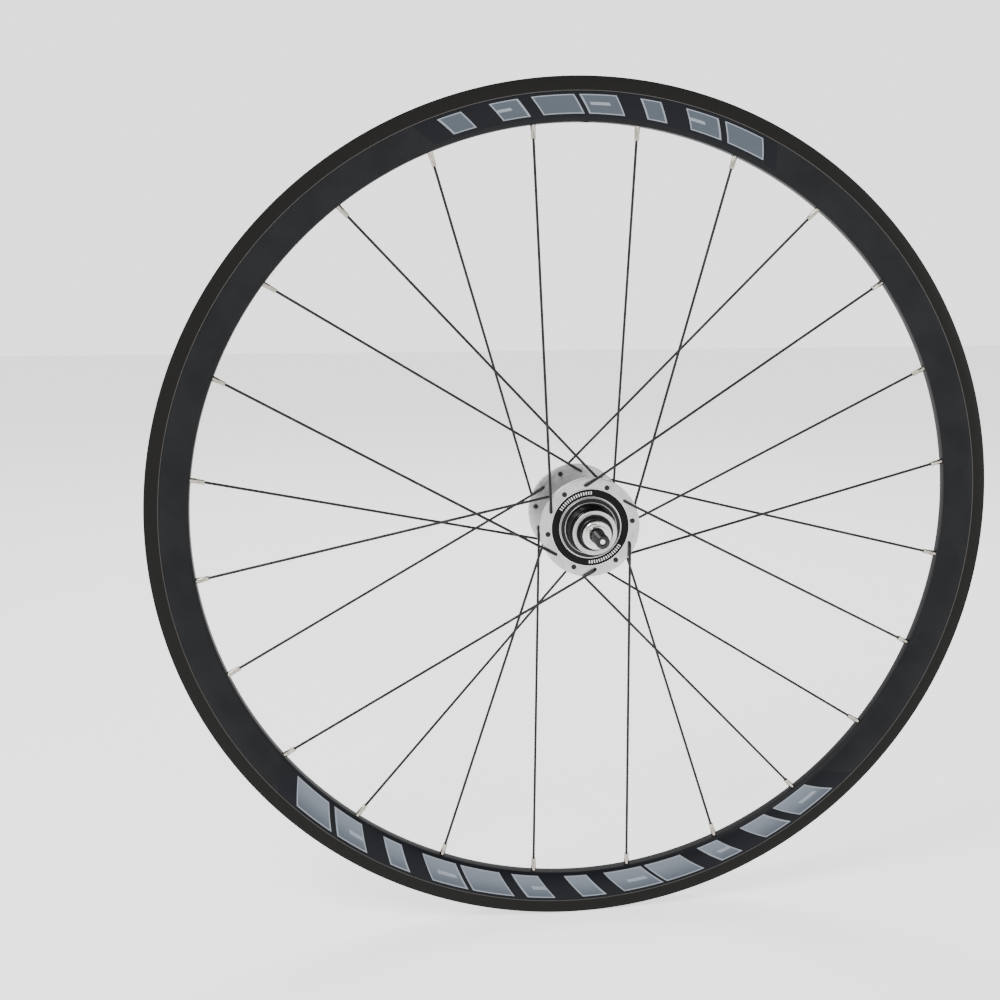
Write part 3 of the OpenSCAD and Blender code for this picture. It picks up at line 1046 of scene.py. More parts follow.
@dataclass(frozen=True)
class BlackSteel:
    """Black oxide on drawn or turned steel, satin, rubbed a little brighter here and there."""

    name: str
    colour: tuple = (0.006, 0.006, 0.007, 1)
    rubbed: tuple = (0.03, 0.03, 0.033, 1)
    roughness: float = 0.34
    metallic: float = 0.0
    gloss: float = 0.2
    bare_r_mm: float = 0.0
    bare_from_mm: float = 75.5

    def make(self) -> bpy.types.Material:
        """Makes the material.

        Returns:
            The material.
        """
        p = Paint(self.name)
        grain = p.noise(3800.0, 3.0)
        worn = p.noise(130.0, 4.0).step(0.52, 0.72)
        colour = p.mix(worn * 0.5 + grain * 0.15, self.colour, self.rubbed)
        rough = grain * 0.12 + self.roughness - worn * 0.06
        metal = self.metallic
        if self.bare_r_mm > 0:
            bare = (p.radius * 1000.0 < self.bare_r_mm) * (p.y.size() * 1000.0 > self.bare_from_mm)
            colour = p.mix(bare, colour, (0.75, 0.76, 0.78, 1))
            metal = bare.most(self.metallic)
        p.bumped(grain, 0.000003)
        return p.coat(Base_Color=colour, Roughness=rough, Metallic=metal, Specular_IOR_Level=self.gloss)


@dataclass(frozen=True)
class Plating:
    """Bright nickel or chrome plate, with the polish's faint haze and fingermarks."""

    name: str
    colour: tuple = (0.70, 0.69, 0.68, 1)
    haze: tuple = (0.50, 0.49, 0.48, 1)
    roughness: float = 0.07

    def make(self) -> bpy.types.Material:
        """Makes the material.

        Returns:
            The material.
        """
        p = Paint(self.name)
        cloud = p.noise(240.0, 5.0)
        fine = p.noise(5200.0, 2.0)
        marks = p.turning_marks(3800.0)
        colour = p.mix(cloud.step(0.35, 0.75), self.colour, self.haze)
        rough = cloud.step(0.4, 0.8) * 0.1 + self.roughness + fine * 0.04
        p.bumped(marks * 0.7 + fine * 0.3, 0.000002)
        return p.coat(Base_Color=colour, Roughness=rough, Metallic=1.0)


@dataclass(frozen=True)
class SealRubber:
    """Smooth black seal rubber with a faint bloom and its mould's rings."""

    name: str = "seal_rubber"

    def make(self) -> bpy.types.Material:
        """Makes the material.

        Returns:
            The material.
        """
        p = Paint(self.name)
        bloom = p.noise(420.0, 4.0)
        grain = p.noise(6500.0, 2.0)
        rings = p.turning_marks(2400.0)
        colour = p.mix(bloom.step(0.4, 0.75), (0.005, 0.005, 0.005, 1), (0.012, 0.012, 0.012, 1))
        rough = bloom * 0.14 + 0.4 + grain * 0.05
        p.bumped(rings * 0.6 + grain * 0.4, 0.000006)
        return p.coat(Base_Color=colour, Roughness=rough, Metallic=0.0, Specular_IOR_Level=0.25)


@dataclass(frozen=True)
class WovenTape:
    """Grey woven rim tape. Its threads run round the rim and across it."""

    name: str = "woven_rim_tape"

    def make(self) -> bpy.types.Material:
        """Makes the material.

        Returns:
            The material.
        """
        p = Paint(self.name)
        across = (p.y * (math.tau / 0.0009)).sine()
        round_rim = (p.angle * (math.pi / 180.0) * (308.5 / 0.9)).sine()
        weave = (across * round_rim) * 0.5 + 0.5
        fuzz = p.noise(2600.0, 3.0)
        edge = p.y.size().step(0.0046, 0.0052)
        colour = p.mix(weave * 0.7 + fuzz * 0.3, (0.30, 0.32, 0.35, 1), (0.52, 0.54, 0.57, 1))
        colour = p.mix(edge * 0.6, colour, (0.24, 0.26, 0.29, 1))
        p.bumped(weave + fuzz * 0.4, 0.00004)
        return p.coat(Base_Color=colour, Roughness=fuzz * 0.2 + 0.7, Metallic=0.0)


@dataclass
class Finishes:
    """Every finish of the wheel, made once."""

    rim: bpy.types.Material = field(default_factory=lambda: RimAnodising().make())
    tape: bpy.types.Material = field(default_factory=lambda: WovenTape().make())
    spoke: bpy.types.Material = field(default_factory=lambda: BlackSteel("black_spoke").make())
    nipple: bpy.types.Material = field(
        default_factory=lambda: Plating(
            "nickel_nipple", (0.44, 0.41, 0.36, 1), (0.26, 0.24, 0.20, 1), 0.16
        ).make()
    )
    hub: bpy.types.Material = field(
        default_factory=lambda: TurnedSilver("hub_silver", dark_r_mm=22.43).make()
    )
    band: bpy.types.Material = field(default_factory=lambda: BandPrint().make())
    rubber: bpy.types.Material = field(default_factory=lambda: SealRubber().make())
    bearing: bpy.types.Material = field(
        default_factory=lambda: TurnedSilver(
            "bearing_steel", (0.50, 0.50, 0.52, 1), (0.68, 0.68, 0.70, 1), 0.14, 0.08
        ).make()
    )
    cage: bpy.types.Material = field(
        default_factory=lambda: TurnedSilver(
            "cage_brass", (0.55, 0.38, 0.14, 1), (0.75, 0.55, 0.24, 1), 0.28, 0.12
        ).make()
    )
    axle: bpy.types.Material = field(
        default_factory=lambda: BlackSteel(
            "black_axle", (0.02, 0.02, 0.021, 1), (0.10, 0.10, 0.10, 1), 0.24, 0.85, 0.4, 1.7
        ).make()
    )
    sleeve: bpy.types.Material = field(
        default_factory=lambda: TurnedSilver(
            "sleeve_steel", (0.36, 0.36, 0.38, 1), (0.52, 0.52, 0.55, 1), 0.3, 0.12
        ).make()
    )
    chrome: bpy.types.Material = field(default_factory=lambda: Plating("locknut_chrome").make())
    cover: bpy.types.Material = field(
        default_factory=lambda: BlackSteel(
            "black_cover", (0.006, 0.006, 0.0065, 1), (0.016, 0.016, 0.016, 1), 0.24, 0.0, 0.35
        ).make()
    )


# ---------------------------------------------------------------- the rim


@dataclass
class Rim:
    """The hollow rim and the tape in its well. Sizes in millimetres."""

    shop: Workshop
    finishes: Finishes
    lacing: "Spokes"
    rim_r: float = 317.0
    seat_r: float = 311.0
    bed_r: float = 287.0
    bed_t: float = 2.2
    bed_half: float = 3.2
    half_w: float = 11.0
    side_wall: float = 1.1
    crease_r: float = 307.0
    groove_w: float = 0.6
    groove_depth: float = 0.4
    channel_half: float = 9.2
    hook_half: float = 8.6
    well_half: float = 5.6
    well_r: float = 308.0
    floor_t: float = 1.2
    valve_r: float = 3.3
    valve_deg: float = 90.0

    def flare(self, low_r: float, high_r: float, low_h: float, high_h: float, steps: int = 30) -> list:
        """The side wall's curve, from the bed out to the crease.

        Args:
            low_r: radius at the bed.
            high_r: radius at the crease.
            low_h: half width at the bed.
            high_h: half width at the crease.
            steps: how many steps the curve has.

        Returns:
            (radius, half width) pairs.
        """
        pairs = []
        for i in range(steps, -1, -1):
            turn = math.radians(90 * i / steps)
            pairs.append(
                (
                    high_r - (high_r - low_r) * math.sin(turn),
                    low_h + (high_h - low_h) * max(math.cos(turn), 0) ** 1.5,
                )
            )
        return pairs

    def mirrored(self, half: list) -> Outline:
        """An outline from one half of a section and its mirror image.

        Args:
            half: (radius, half width, rounding) of each point.

        Returns:
            The whole outline.
        """
        outline = Outline()
        for r, h, rounding in half:
            outline.to(r, h, rounding)
        for r, h, rounding in reversed(half):
            outline.to(r, -h, rounding)
        return outline

    def hoop(self) -> bpy.types.Mesh:
        """The rim itself, with its hollow and its holes.

        Returns:
            The mesh.
        """
        groove_r = self.crease_r - self.groove_w
        wall = self.flare(self.bed_r, groove_r, self.bed_half, self.half_w - self.groove_depth / 2)
        half = [(r, h, 0.0) for r, h in wall]
        half += [
            (groove_r, self.half_w - self.groove_depth, 0.08),
            (self.crease_r, self.half_w - self.groove_depth, 0.08),
            (self.crease_r, self.half_w, 0.12),
            (self.rim_r, self.half_w, 0.6),
            (self.rim_r, self.hook_half, 0.5),
            (self.rim_r - 1.4, self.hook_half, 0.4),
            (self.rim_r - 2.2, self.channel_half, 0.3),
            (self.seat_r, self.channel_half, 0.5),
            (self.seat_r, self.well_half + 1.4, 0.6),
            (self.well_r, self.well_half, 0.6),
        ]
        floor_r = self.well_r - self.floor_t
        inner = self.half_w - self.side_wall - 0.3
        hollow = [
            (r, h, 0.0)
            for r, h in self.flare(
                self.bed_r + self.bed_t, floor_r, self.bed_half - self.side_wall / 2, inner, 14
            )
        ]
        hollow += [
            (self.seat_r - 1.7, inner, 0.2),
            (self.seat_r - 1.7, self.well_half + 1.4, 0.2),
            (floor_r, self.well_half, 0.2),
        ]
        solid = self.shop.turned("rim_solid", self.mirrored(half), self.finishes.rim, 480)
        room = self.shop.turned("rim_hollow", self.mirrored(hollow), self.finishes.rim, 240)
        holes = []
        for side in Side:
            for n in range(self.lacing.per_flange):
                spoke = self.lacing.course(side, n)
                holes.append(Hole(tuple(spoke.at(spoke.seat_l)), tuple(spoke.direction), 2.15, 12.0))
                out = spoke.rim_way
                holes.append(Hole(tuple(Vector(out) * 308.5), tuple(out), 4.2, 7.0))
        up = (math.cos(math.radians(self.valve_deg)), 0.0, math.sin(math.radians(self.valve_deg)))
        holes.append(Hole(tuple(Vector(up) * 298.0), up, self.valve_r, 30.0))
        return self.shop.bored("rim_hoop", solid, room, holes, self.finishes.rim, 32)

    def tape(self) -> bpy.types.Mesh:
        """The tape in the well.

        Returns:
            The mesh.
        """
        low, high = self.well_r + 0.05, self.well_r + 0.85
        half = [(low, self.well_half - 0.05, 0.2), (high, self.well_half - 0.05, 0.3)]
        outline = self.mirrored(half)
        strip = self.shop.turned("tape_strip", outline, self.finishes.tape, 480)
        nothing = mesh_of("tape_nothing", np.zeros((0, 3)), [], [])
        up = (math.cos(math.radians(self.valve_deg)), 0.0, math.sin(math.radians(self.valve_deg)))
        holes = [Hole(tuple(Vector(up) * 308.5), up, 3.8, 6.0)]
        return self.shop.bored("rim_tape_strip", strip, nothing, holes, self.finishes.tape, 32)

    def build(self) -> None:
        """Makes the rim and its tape."""
        self.shop.place("rim_hoop", self.hoop(), "wheel", "rim_anodised", ["rim"], 28.0)
        self.shop.place("rim_tape_strip", self.tape(), "wheel", "rim_tape", ["rim_tape"])


# ---------------------------------------------------------------- spokes and nipples


@dataclass
class Course:
    """How one spoke runs: its hole, the plane that it bends in, and its straight part. Millimetres."""

    hole: Vector
    along: Vector
    aside: Vector
    rim_way: Vector
    elbow_r: float
    elbow_h: float
    rise: float
    line_l: float
    lean: float
    nipple_head_r: float

    @property
    def direction(self) -> Vector:
        """The way the straight part runs."""
        return self.along * math.cos(self.rise) + self.aside * math.sin(self.rise)

    @property
    def line_start(self) -> Vector:
        """Where the elbow ends and the straight part starts."""
        bend = math.pi / 2 - self.rise
        return (
            self.hole
            + self.along * (self.elbow_r - self.elbow_r * math.cos(bend))
            + self.aside * (self.elbow_h + self.elbow_r * math.sin(bend))
        )

    @property
    def seat_l(self) -> float:
        """How far along the straight part the nipple's head sits."""
        return self.line_l - self.nipple_head_r * math.tan(self.lean) - 0.1

    def at(self, length: float) -> Vector:
        """A place on the straight part, or on its line past either end."""
        return self.line_start + self.direction * length


@dataclass
class Spokes:
    """The 24 spokes and their nipples, laced two-cross. Sizes in millimetres."""

    shop: Workshop
    finishes: Finishes
    count: int = 24
    crosses: int = 2
    spoke_r: float = 1.0
    elbow_r: float = 2.4
    head_r: float = 1.9
    head_t: float = 1.0
    grip: float = 1.4
    hole_circle_r: float = 31.5
    flange_t: float = 3.4
    bed_top_r: float = 289.2
    drive_flange: float = 29.2
    far_flange: float = 32.0
    barrel_r: float = 2.0
    barrel_l: float = 11.4
    nipple_head_r: float = 3.0
    nipple_head_t: float = 2.6
    flats_half: float = 1.7
    flats_l: float = 5.6

    @property
    def per_flange(self) -> int:
        """Spokes on each flange."""
        return self.count // 2

    def course(self, side: Side, n: int) -> Course:
        """Works out how one spoke runs.

        Args:
            side: the side of its flange.
            n: its hole's number, from 0. Odd holes hold leading spokes.

        Returns:
            Its course.
        """
        hub_step = 360 / self.per_flange
        rim_step = 360 / self.count
        leading = n % 2 == 1
        hub_deg = rim_step / 2 + (0 if side is Side.DRIVE else 1) * rim_step + n * hub_step
        rim_deg = hub_deg + (-1 if leading else 1) * self.crosses * hub_step
        flange = self.drive_flange if side is Side.DRIVE else -self.far_flange
        lift = (1 if side is Side.DRIVE else -1) * (1 if leading else -1)
        hub = self.hole_circle_r * np.array(
            [math.cos(math.radians(hub_deg)), math.sin(math.radians(hub_deg))]
        )
        seat = self.bed_top_r * np.array([math.cos(math.radians(rim_deg)), math.sin(math.radians(rim_deg))])
        run = seat - hub
        heading = math.atan2(run[1], run[0])
        elbow_h = self.flange_t / 2 + 0.1
        reach = (float(np.linalg.norm(run)) - self.elbow_r, -lift * flange - elbow_h)
        line_l = math.sqrt(reach[0] ** 2 + reach[1] ** 2 - self.elbow_r**2)
        rise = math.atan2(reach[1], reach[0]) - math.atan2(self.elbow_r, line_l)
        lean = math.acos(math.cos(rise) * math.cos(heading - math.radians(rim_deg)))
        return Course(
            hole=Vector((hub[0], -flange, hub[1])),
            along=Vector((math.cos(heading), 0.0, math.sin(heading))),
            aside=Vector((0.0, -lift, 0.0)),
            rim_way=Vector((math.cos(math.radians(rim_deg)), 0.0, math.sin(math.radians(rim_deg)))),
            elbow_r=self.elbow_r,
            elbow_h=elbow_h,
            rise=rise,
            line_l=line_l,
            lean=lean,
            nipple_head_r=self.nipple_head_r,
        )

    def path(self, course: Course) -> tuple[np.ndarray, np.ndarray]:
        """The middle line of a spoke, with its radius at each point.

        Args:
            course: how the spoke runs.

        Returns:
            The points in millimetres and the radii.
        """
        top = -self.flange_t / 2
        crown = [
            (-1.0, 0.15), (-0.97, 0.8), (-0.88, 1.35), (-0.7, 1.72), (-0.45, 1.88), (-0.2, 1.9), (-0.02, 1.85)
        ]
        neck = ((0.02, 1.2), (0.15, 1.02), (1.0, 1.0))
        rows = [
            (course.hole + course.aside * (top + h * self.head_t), r * self.head_r / 1.9) for h, r in crown
        ]
        rows += [(course.hole + course.aside * (top + h), r) for h, r in neck]
        rows.append((course.hole + course.aside * course.elbow_h, self.spoke_r))
        bend = math.pi / 2 - course.rise
        for share in np.linspace(0.1, 1.0, 10):
            turn = bend * share
            spot = (
                course.hole
                + course.along * (self.elbow_r - self.elbow_r * math.cos(turn))
                + course.aside * (course.elbow_h + self.elbow_r * math.sin(turn))
            )
            rows.append((spot, self.spoke_r))
        end = course.seat_l + self.grip
        rows += [(course.at(end * share), self.spoke_r) for share in (0.05, 0.3, 0.6, 0.9, 1.0)]
        return np.array([tuple(p) for p, _ in rows]), np.array([r for _, r in rows])

    def nipple(self, course: Course) -> bpy.types.Mesh:
        """One nipple in its place: squared tip, round barrel, and head with its slot left plain.

        Args:
            course: how its spoke runs.

        Returns:
            The mesh.
        """
        sides = 32
        square_end = -self.barrel_l + self.flats_l
        rows = [
            (-self.barrel_l + 0.02, self.spoke_r + 0.08, 9.0),
            (-self.barrel_l, self.spoke_r + 0.28, 9.0),
            (-self.barrel_l + 0.06, 1.62, self.flats_half),
            (-self.barrel_l + 0.28, 1.86, self.flats_half),
            (-self.barrel_l + 0.6, self.barrel_r, self.flats_half),
            (square_end - 0.12, self.barrel_r, self.flats_half),
            (square_end, self.barrel_r, self.barrel_r - 0.1),
            (square_end + 0.12, self.barrel_r, 9.0),
            (-0.25, self.barrel_r, 9.0),
            (-0.12, self.barrel_r + 0.12, 9.0),
            (0.0, self.nipple_head_r - 0.35, 9.0),
            (0.15, self.nipple_head_r, 9.0),
            (self.nipple_head_t - 0.9, self.nipple_head_r, 9.0),
            (self.nipple_head_t - 0.3, self.nipple_head_r - 0.35, 9.0),
            (self.nipple_head_t, self.nipple_head_r - 1.2, 9.0),
            (self.nipple_head_t, self.spoke_r + 0.15, 9.0),
            (self.nipple_head_t - 1.0, self.spoke_r + 0.05, 9.0),
            (-self.barrel_l + 0.3, self.spoke_r + 0.05, 9.0),
        ]
        up = course.direction
        right = up.cross(course.aside).normalized()
        front = right.cross(up)
        seat = course.at(course.seat_l)
        points, faces = [], []
        for height, radius, flat in rows:
            for k in range(sides):
                turn = math.tau * (k + 0.5) / sides
                a = max(-flat, min(flat, radius * math.cos(turn)))
                b = max(-flat, min(flat, radius * math.sin(turn)))
                points.append((seat + up * height + right * a + front * b) * MM)
        for i in range(len(rows)):
            for k in range(sides):
                j, m = (i + 1) % len(rows), (k + 1) % sides
                faces.append((i * sides + k, i * sides + m, j * sides + m, j * sides + k))
        return mesh_of("nipple", np.array([tuple(p) for p in points]), [], faces)

    def build(self) -> None:
        """Makes the spokes and the nipples, six alike at a time."""
        for side in Side:
            for lacing in Lacing:
                course = self.course(side, lacing.value)
                points, radii = self.path(course)
                seed = mesh_of(
                    "spoke_path",
                    points * MM,
                    [(i, i + 1) for i in range(len(points) - 1)],
                    [],
                    thick=radii * MM,
                )
                half = self.per_flange // 2
                wire = self.shop.drawing.grow(
                    "spokes", seed, Count=half, Sides=16, Finish=self.finishes.spoke
                )
                nodes = [f"spoke_{side.word}_{lacing.value + 2 * k + 1}" for k in range(half)]
                name = f"spokes_{side.word}_{lacing.word}"
                self.shop.place(name, wire, "wheel", "spoke_black", nodes, 50.0)
                six = self.shop.ringing.grow(
                    "nipples", self.nipple(course), Count=half, Finish=self.finishes.nipple
                )
                name = f"nipples_{side.word}_{lacing.word}"
                self.shop.place("turned_" + name, six, "wheel", "nipple_silver", [name], 30.0)


# ---------------------------------------------------------------- the hub


@dataclass
class Hub:
    """The hub shell, its two bands and its dust seals. Sizes in millimetres."""

    shop: Workshop
    finishes: Finishes
    lacing: Spokes
    flange_r: float = 36.8
    flange_t: float = 3.4
    drive_face: float = 30.9
    far_face: float = 33.7
    drive_end: float = 48.4
    far_end: float = 44.1
    barrel_r: float = 17.0
    boss_r: float = 22.4
    boss_h: float = 1.6
    band_r: float = 29.0
    band_sink: float = 0.35
    band_t: float = 0.5
    shoulder_r: float = 19.2
    shoulder_t: float = 0.8
    cog_r: float = 17.4
    cog_l: float = 9.6
    relief_depth: float = 0.8
    ring_r: float = 16.4
    ring_l: float = 4.6
    nose_r: float = 15.5
    pocket_r: float = 13.0
    pocket_depth: float = 9.8
    bore_r: float = 11.2
    seal_sink: float = 0.6
    seal_t: float = 1.2
    seal_inner_r: float = 7.35

    def shell(self) -> bpy.types.Mesh:
        """The shell with its two threads and its spoke holes.

        Returns:
            The mesh.
        """
        o = Outline(pitch=25.4 / 24, thread_depth=0.62)
        far, drive = self.far_face, -self.drive_face
        o.to(self.bore_r, self.far_end - self.pocket_depth, 0.2)
        o.to(self.pocket_r, self.far_end - self.pocket_depth)
        o.to(self.pocket_r, self.far_end, 0.35)
        o.to(self.nose_r, self.far_end, 0.6)
        o.to(self.nose_r, far + self.boss_h + 2.0, 1.6)
        o.to(self.boss_r - 3.0, far + self.boss_h, 0.8)
        o.to(self.boss_r, far + self.boss_h, 0.5)
        o.to(self.boss_r, far - self.band_sink)
        o.to(self.band_r, far - self.band_sink)
        o.to(self.band_r, far, 0.12)
        o.to(self.flange_r, far, 0.6)
        o.to(self.flange_r, far - self.flange_t, 0.6)
        o.to(self.barrel_r + 5.0, far - self.flange_t, 2.5)
        o.to(self.barrel_r + 1.5, far - self.flange_t - 1.5, 3.0)
        o.to(self.barrel_r, far - self.flange_t - 5.0, 3.0)
        o.to(self.barrel_r, drive + self.flange_t + 5.0, 3.0)
        o.to(self.barrel_r + 1.5, drive + self.flange_t + 1.5, 3.0)
        o.to(self.barrel_r + 5.0, drive + self.flange_t, 2.5)
        o.to(self.flange_r, drive + self.flange_t, 0.6)
        o.to(self.flange_r, drive, 0.6)
        o.to(self.band_r, drive, 0.12)
        o.to(self.band_r, drive + self.band_sink)
        o.to(self.boss_r, drive + self.band_sink)
        o.to(self.boss_r, drive - self.boss_h, 0.5)
        o.to(self.shoulder_r, drive - self.boss_h, 0.1)
        shoulder = drive - self.boss_h - self.shoulder_t
        o.to(self.shoulder_r, shoulder, 0.3)
        o.to(self.cog_r - 0.7, shoulder)
        o.to(self.cog_r - 0.7, shoulder - 0.3)
        o.thread(self.cog_r, shoulder - self.cog_l, 0.5)
        groove = self.ring_r - self.relief_depth
        start = -self.drive_end + self.ring_l
        o.to(groove, shoulder - self.cog_l, 0.2)
        o.to(groove, start, 0.2)
        o.thread(self.ring_r, -self.drive_end, 0.5)
        o.to(self.pocket_r, -self.drive_end, 0.35)
        o.to(self.pocket_r, -self.drive_end + self.pocket_depth)
        o.to(self.bore_r, -self.drive_end + self.pocket_depth, 0.2)
        solid = self.shop.turned("hub_solid", o, self.finishes.hub, 176)
        nothing = mesh_of("hub_nothing", np.zeros((0, 3)), [], [])
        holes = []
        for side in Side:
            for n in range(self.lacing.per_flange):
                spot = self.lacing.course(side, n).hole
                holes.append(Hole(tuple(spot), (0.0, 1.0, 0.0), 1.25, 8.0))
                for way in (-1, 1):
                    mouth = spot + Vector((0.0, way * (self.flange_t / 2 + 0.32), 0.0))
                    holes.append(Hole(tuple(mouth), (0.0, 1.0, 0.0), 1.5, 1.0))
        return self.shop.bored("hub_body", solid, nothing, holes, self.finishes.hub, 28)

    def band(self, side: Side) -> bpy.types.Mesh:
        """The dark band round a boss.

        Args:
            side: the side it is on.

        Returns:
            The mesh.
        """
        face = (self.drive_face if side is Side.DRIVE else self.far_face) - self.band_sink
        o = Outline()
        o.to(self.boss_r + 0.05, face * side.value).to(self.band_r - 0.05, face * side.value)
        top = (face + self.band_t) * side.value
        o.to(self.band_r - 0.05, top, 0.15).to(self.boss_r + 0.05, top, 0.15)
        return self.shop.turned("band", o, self.finishes.band, 192)

    def dust_seal(self, side: Side) -> bpy.types.Mesh:
        """The rubber seal in front of a bearing, with a shallow groove and a lip.

        Args:
            side: the side it is on.

        Returns:
            The mesh.
        """
        end = self.drive_end if side is Side.DRIVE else self.far_end
        low, high = end - self.seal_sink - self.seal_t + 0.05, end - self.seal_sink
        o = Outline()
        for r, h, rounding in (
            (self.seal_inner_r, low, 0.0),
            (self.pocket_r - 0.05, low, 0.0),
            (self.pocket_r - 0.05, high, 0.2),
            (11.9, high, 0.15),
            (11.6, high - 0.35, 0.15),
            (9.7, high - 0.35, 0.2),
            (9.3, high, 0.2),
            (self.seal_inner_r, high, 0.25),
        ):
            o.to(r, h * side.value, rounding)
        return self.shop.turned("dust_seal", o, self.finishes.rubber, 144)

    def build(self) -> None:
        """Makes the shell, the bands and the dust seals."""
        self.shop.place("hub_body", self.shell(), "wheel", "hub_silver", ["hub_shell"], 28.0)
        for side in Side:
            node = f"hub_band_{side.word}"
            self.shop.place(f"printed_band_{side.word}", self.band(side), "wheel", "hub_band", [node])
            self.shop.place(
                f"lip_seal_{side.word}",
                self.dust_seal(side),
                "wheel",
                "seal_rubber",
                [f"dust_seal_{side.word}"],
            )


# ---------------------------------------------------------------- bearings


@dataclass
class Bearings:
    """The two sealed ball bearings. Sizes in millimetres."""

    shop: Workshop
    finishes: Finishes
    nodes: dict
    drive_h: float = -42.6
    far_h: float = 38.3
    outer_r: float = 12.95
    inner_r: float = 5.05
    half_w: float = 4.0
    circle_r: float = 9.0
    ball_r: float = 2.38
    groove_r: float = 2.46
    ball_count: int = 7

    def race(self, side: Side, edge_r: float, lip_r: float) -> bpy.types.Mesh:
        """One race with the groove that its balls run in.

        Args:
            side: the side it is on.
            edge_r: radius of its plain wall.
            lip_r: radius where its groove opens.

        Returns:
            The mesh.
        """
        middle = self.drive_h if side is Side.DRIVE else self.far_h
        o = Outline()
        outer = edge_r > lip_r
        o.to(edge_r, middle - self.half_w, 0.3).to(edge_r, middle + self.half_w, 0.3)
        o.to(lip_r + (0.65 if outer else 0.0), middle + self.half_w, 0.1)
        if outer:
            o.to(lip_r + 0.65, middle + self.half_w - 0.85).to(lip_r, middle + self.half_w - 0.85)
        opening = math.acos(min(1.0, abs(lip_r - self.circle_r) / self.groove_r))
        for share in np.linspace(1.0, -1.0, 15):
            turn = opening * share
            sign = 1.0 if outer else -1.0
            o.to(
                self.circle_r + sign * self.groove_r * math.cos(turn),
                middle + self.groove_r * math.sin(turn),
            )
        if outer:
            o.to(lip_r, middle - self.half_w + 0.85).to(lip_r + 0.65, middle - self.half_w + 0.85)
        o.to(lip_r + (0.65 if outer else 0.0), middle - self.half_w, 0.1)
        return self.shop.turned("race", o, self.finishes.bearing, 96)

    def seal(self, side: Side) -> bpy.types.Mesh:
        """The two rubber seals of a bearing, as one mesh.

        Args:
            side: the side it is on.

        Returns:
            The mesh.
        """
        middle = self.drive_h if side is Side.DRIVE else self.far_h
        work = bmesh.new()
        for way in (-1, 1):
            o = Outline()
            for r, h, rounding in (
                (7.446, 3.2, 0.15),
                (11.504, 3.2, 0.1),
                (11.504, 3.9, 0.15),
                (10.6, 3.9, 0.1),
                (10.4, 3.7, 0.1),
                (8.4, 3.7, 0.1),
                (8.2, 3.9, 0.1),
                (7.446, 3.9, 0.2),
            ):
                o.to(r, middle + way * h, rounding)
            work.from_mesh(self.shop.turned("seal", o, self.finishes.rubber, 96))
        made = bpy.data.meshes.new("bearing_seals")
        work.to_mesh(made)
        work.free()
        made.materials.append(self.finishes.rubber)
        return made

    def balls(self, side: Side) -> bpy.types.Mesh:
        """The balls of a bearing.

        Args:
            side: the side they are on.

        Returns:
            The mesh.
        """
        middle = self.drive_h if side is Side.DRIVE else self.far_h
        work = bmesh.new()
        bmesh.ops.create_icosphere(
            work,
            subdivisions=3,
            radius=self.ball_r * MM,
            matrix=Matrix.Translation((self.circle_r * MM, middle * MM, 0.0)),
        )
        seed = bpy.data.meshes.new("ball")
        work.to_mesh(seed)
        work.free()
        return self.shop.ringing.grow("balls", seed, Count=self.ball_count, Finish=self.finishes.bearing)

    def build(self) -> None:
        """Makes both bearings and dresses their cages."""
        for side in Side:
            word = side.word
            for ring, edge_r, lip_r, body in (
                ("outer", self.outer_r, 10.904, "wheel"),
                ("inner", self.inner_r, 7.096, "axle_assembly"),
            ):
                node = f"bearing_{ring}_race_{word}"
                made = self.race(side, edge_r, lip_r)
                self.shop.place(f"ground_{ring}_race_{word}", made, body, "bearing_steel", [node])
            seals = [f"bearing_seals_{word}"]
            self.shop.place(f"rubber_shields_{word}", self.seal(side), "wheel", "seal_rubber", seals)
            self.shop.place(
                f"ball_row_{word}",
                self.balls(side),
                f"ball_set_{word}",
                "bearing_steel",
                [f"bearing_balls_{word}"],
                60.0,
            )
            cage = self.nodes[f"bearing_cage_{word}"]
            cage.data.materials.clear()
            cage.data.materials.append(self.finishes.cage)


# ---------------------------------------------------------------- the axle


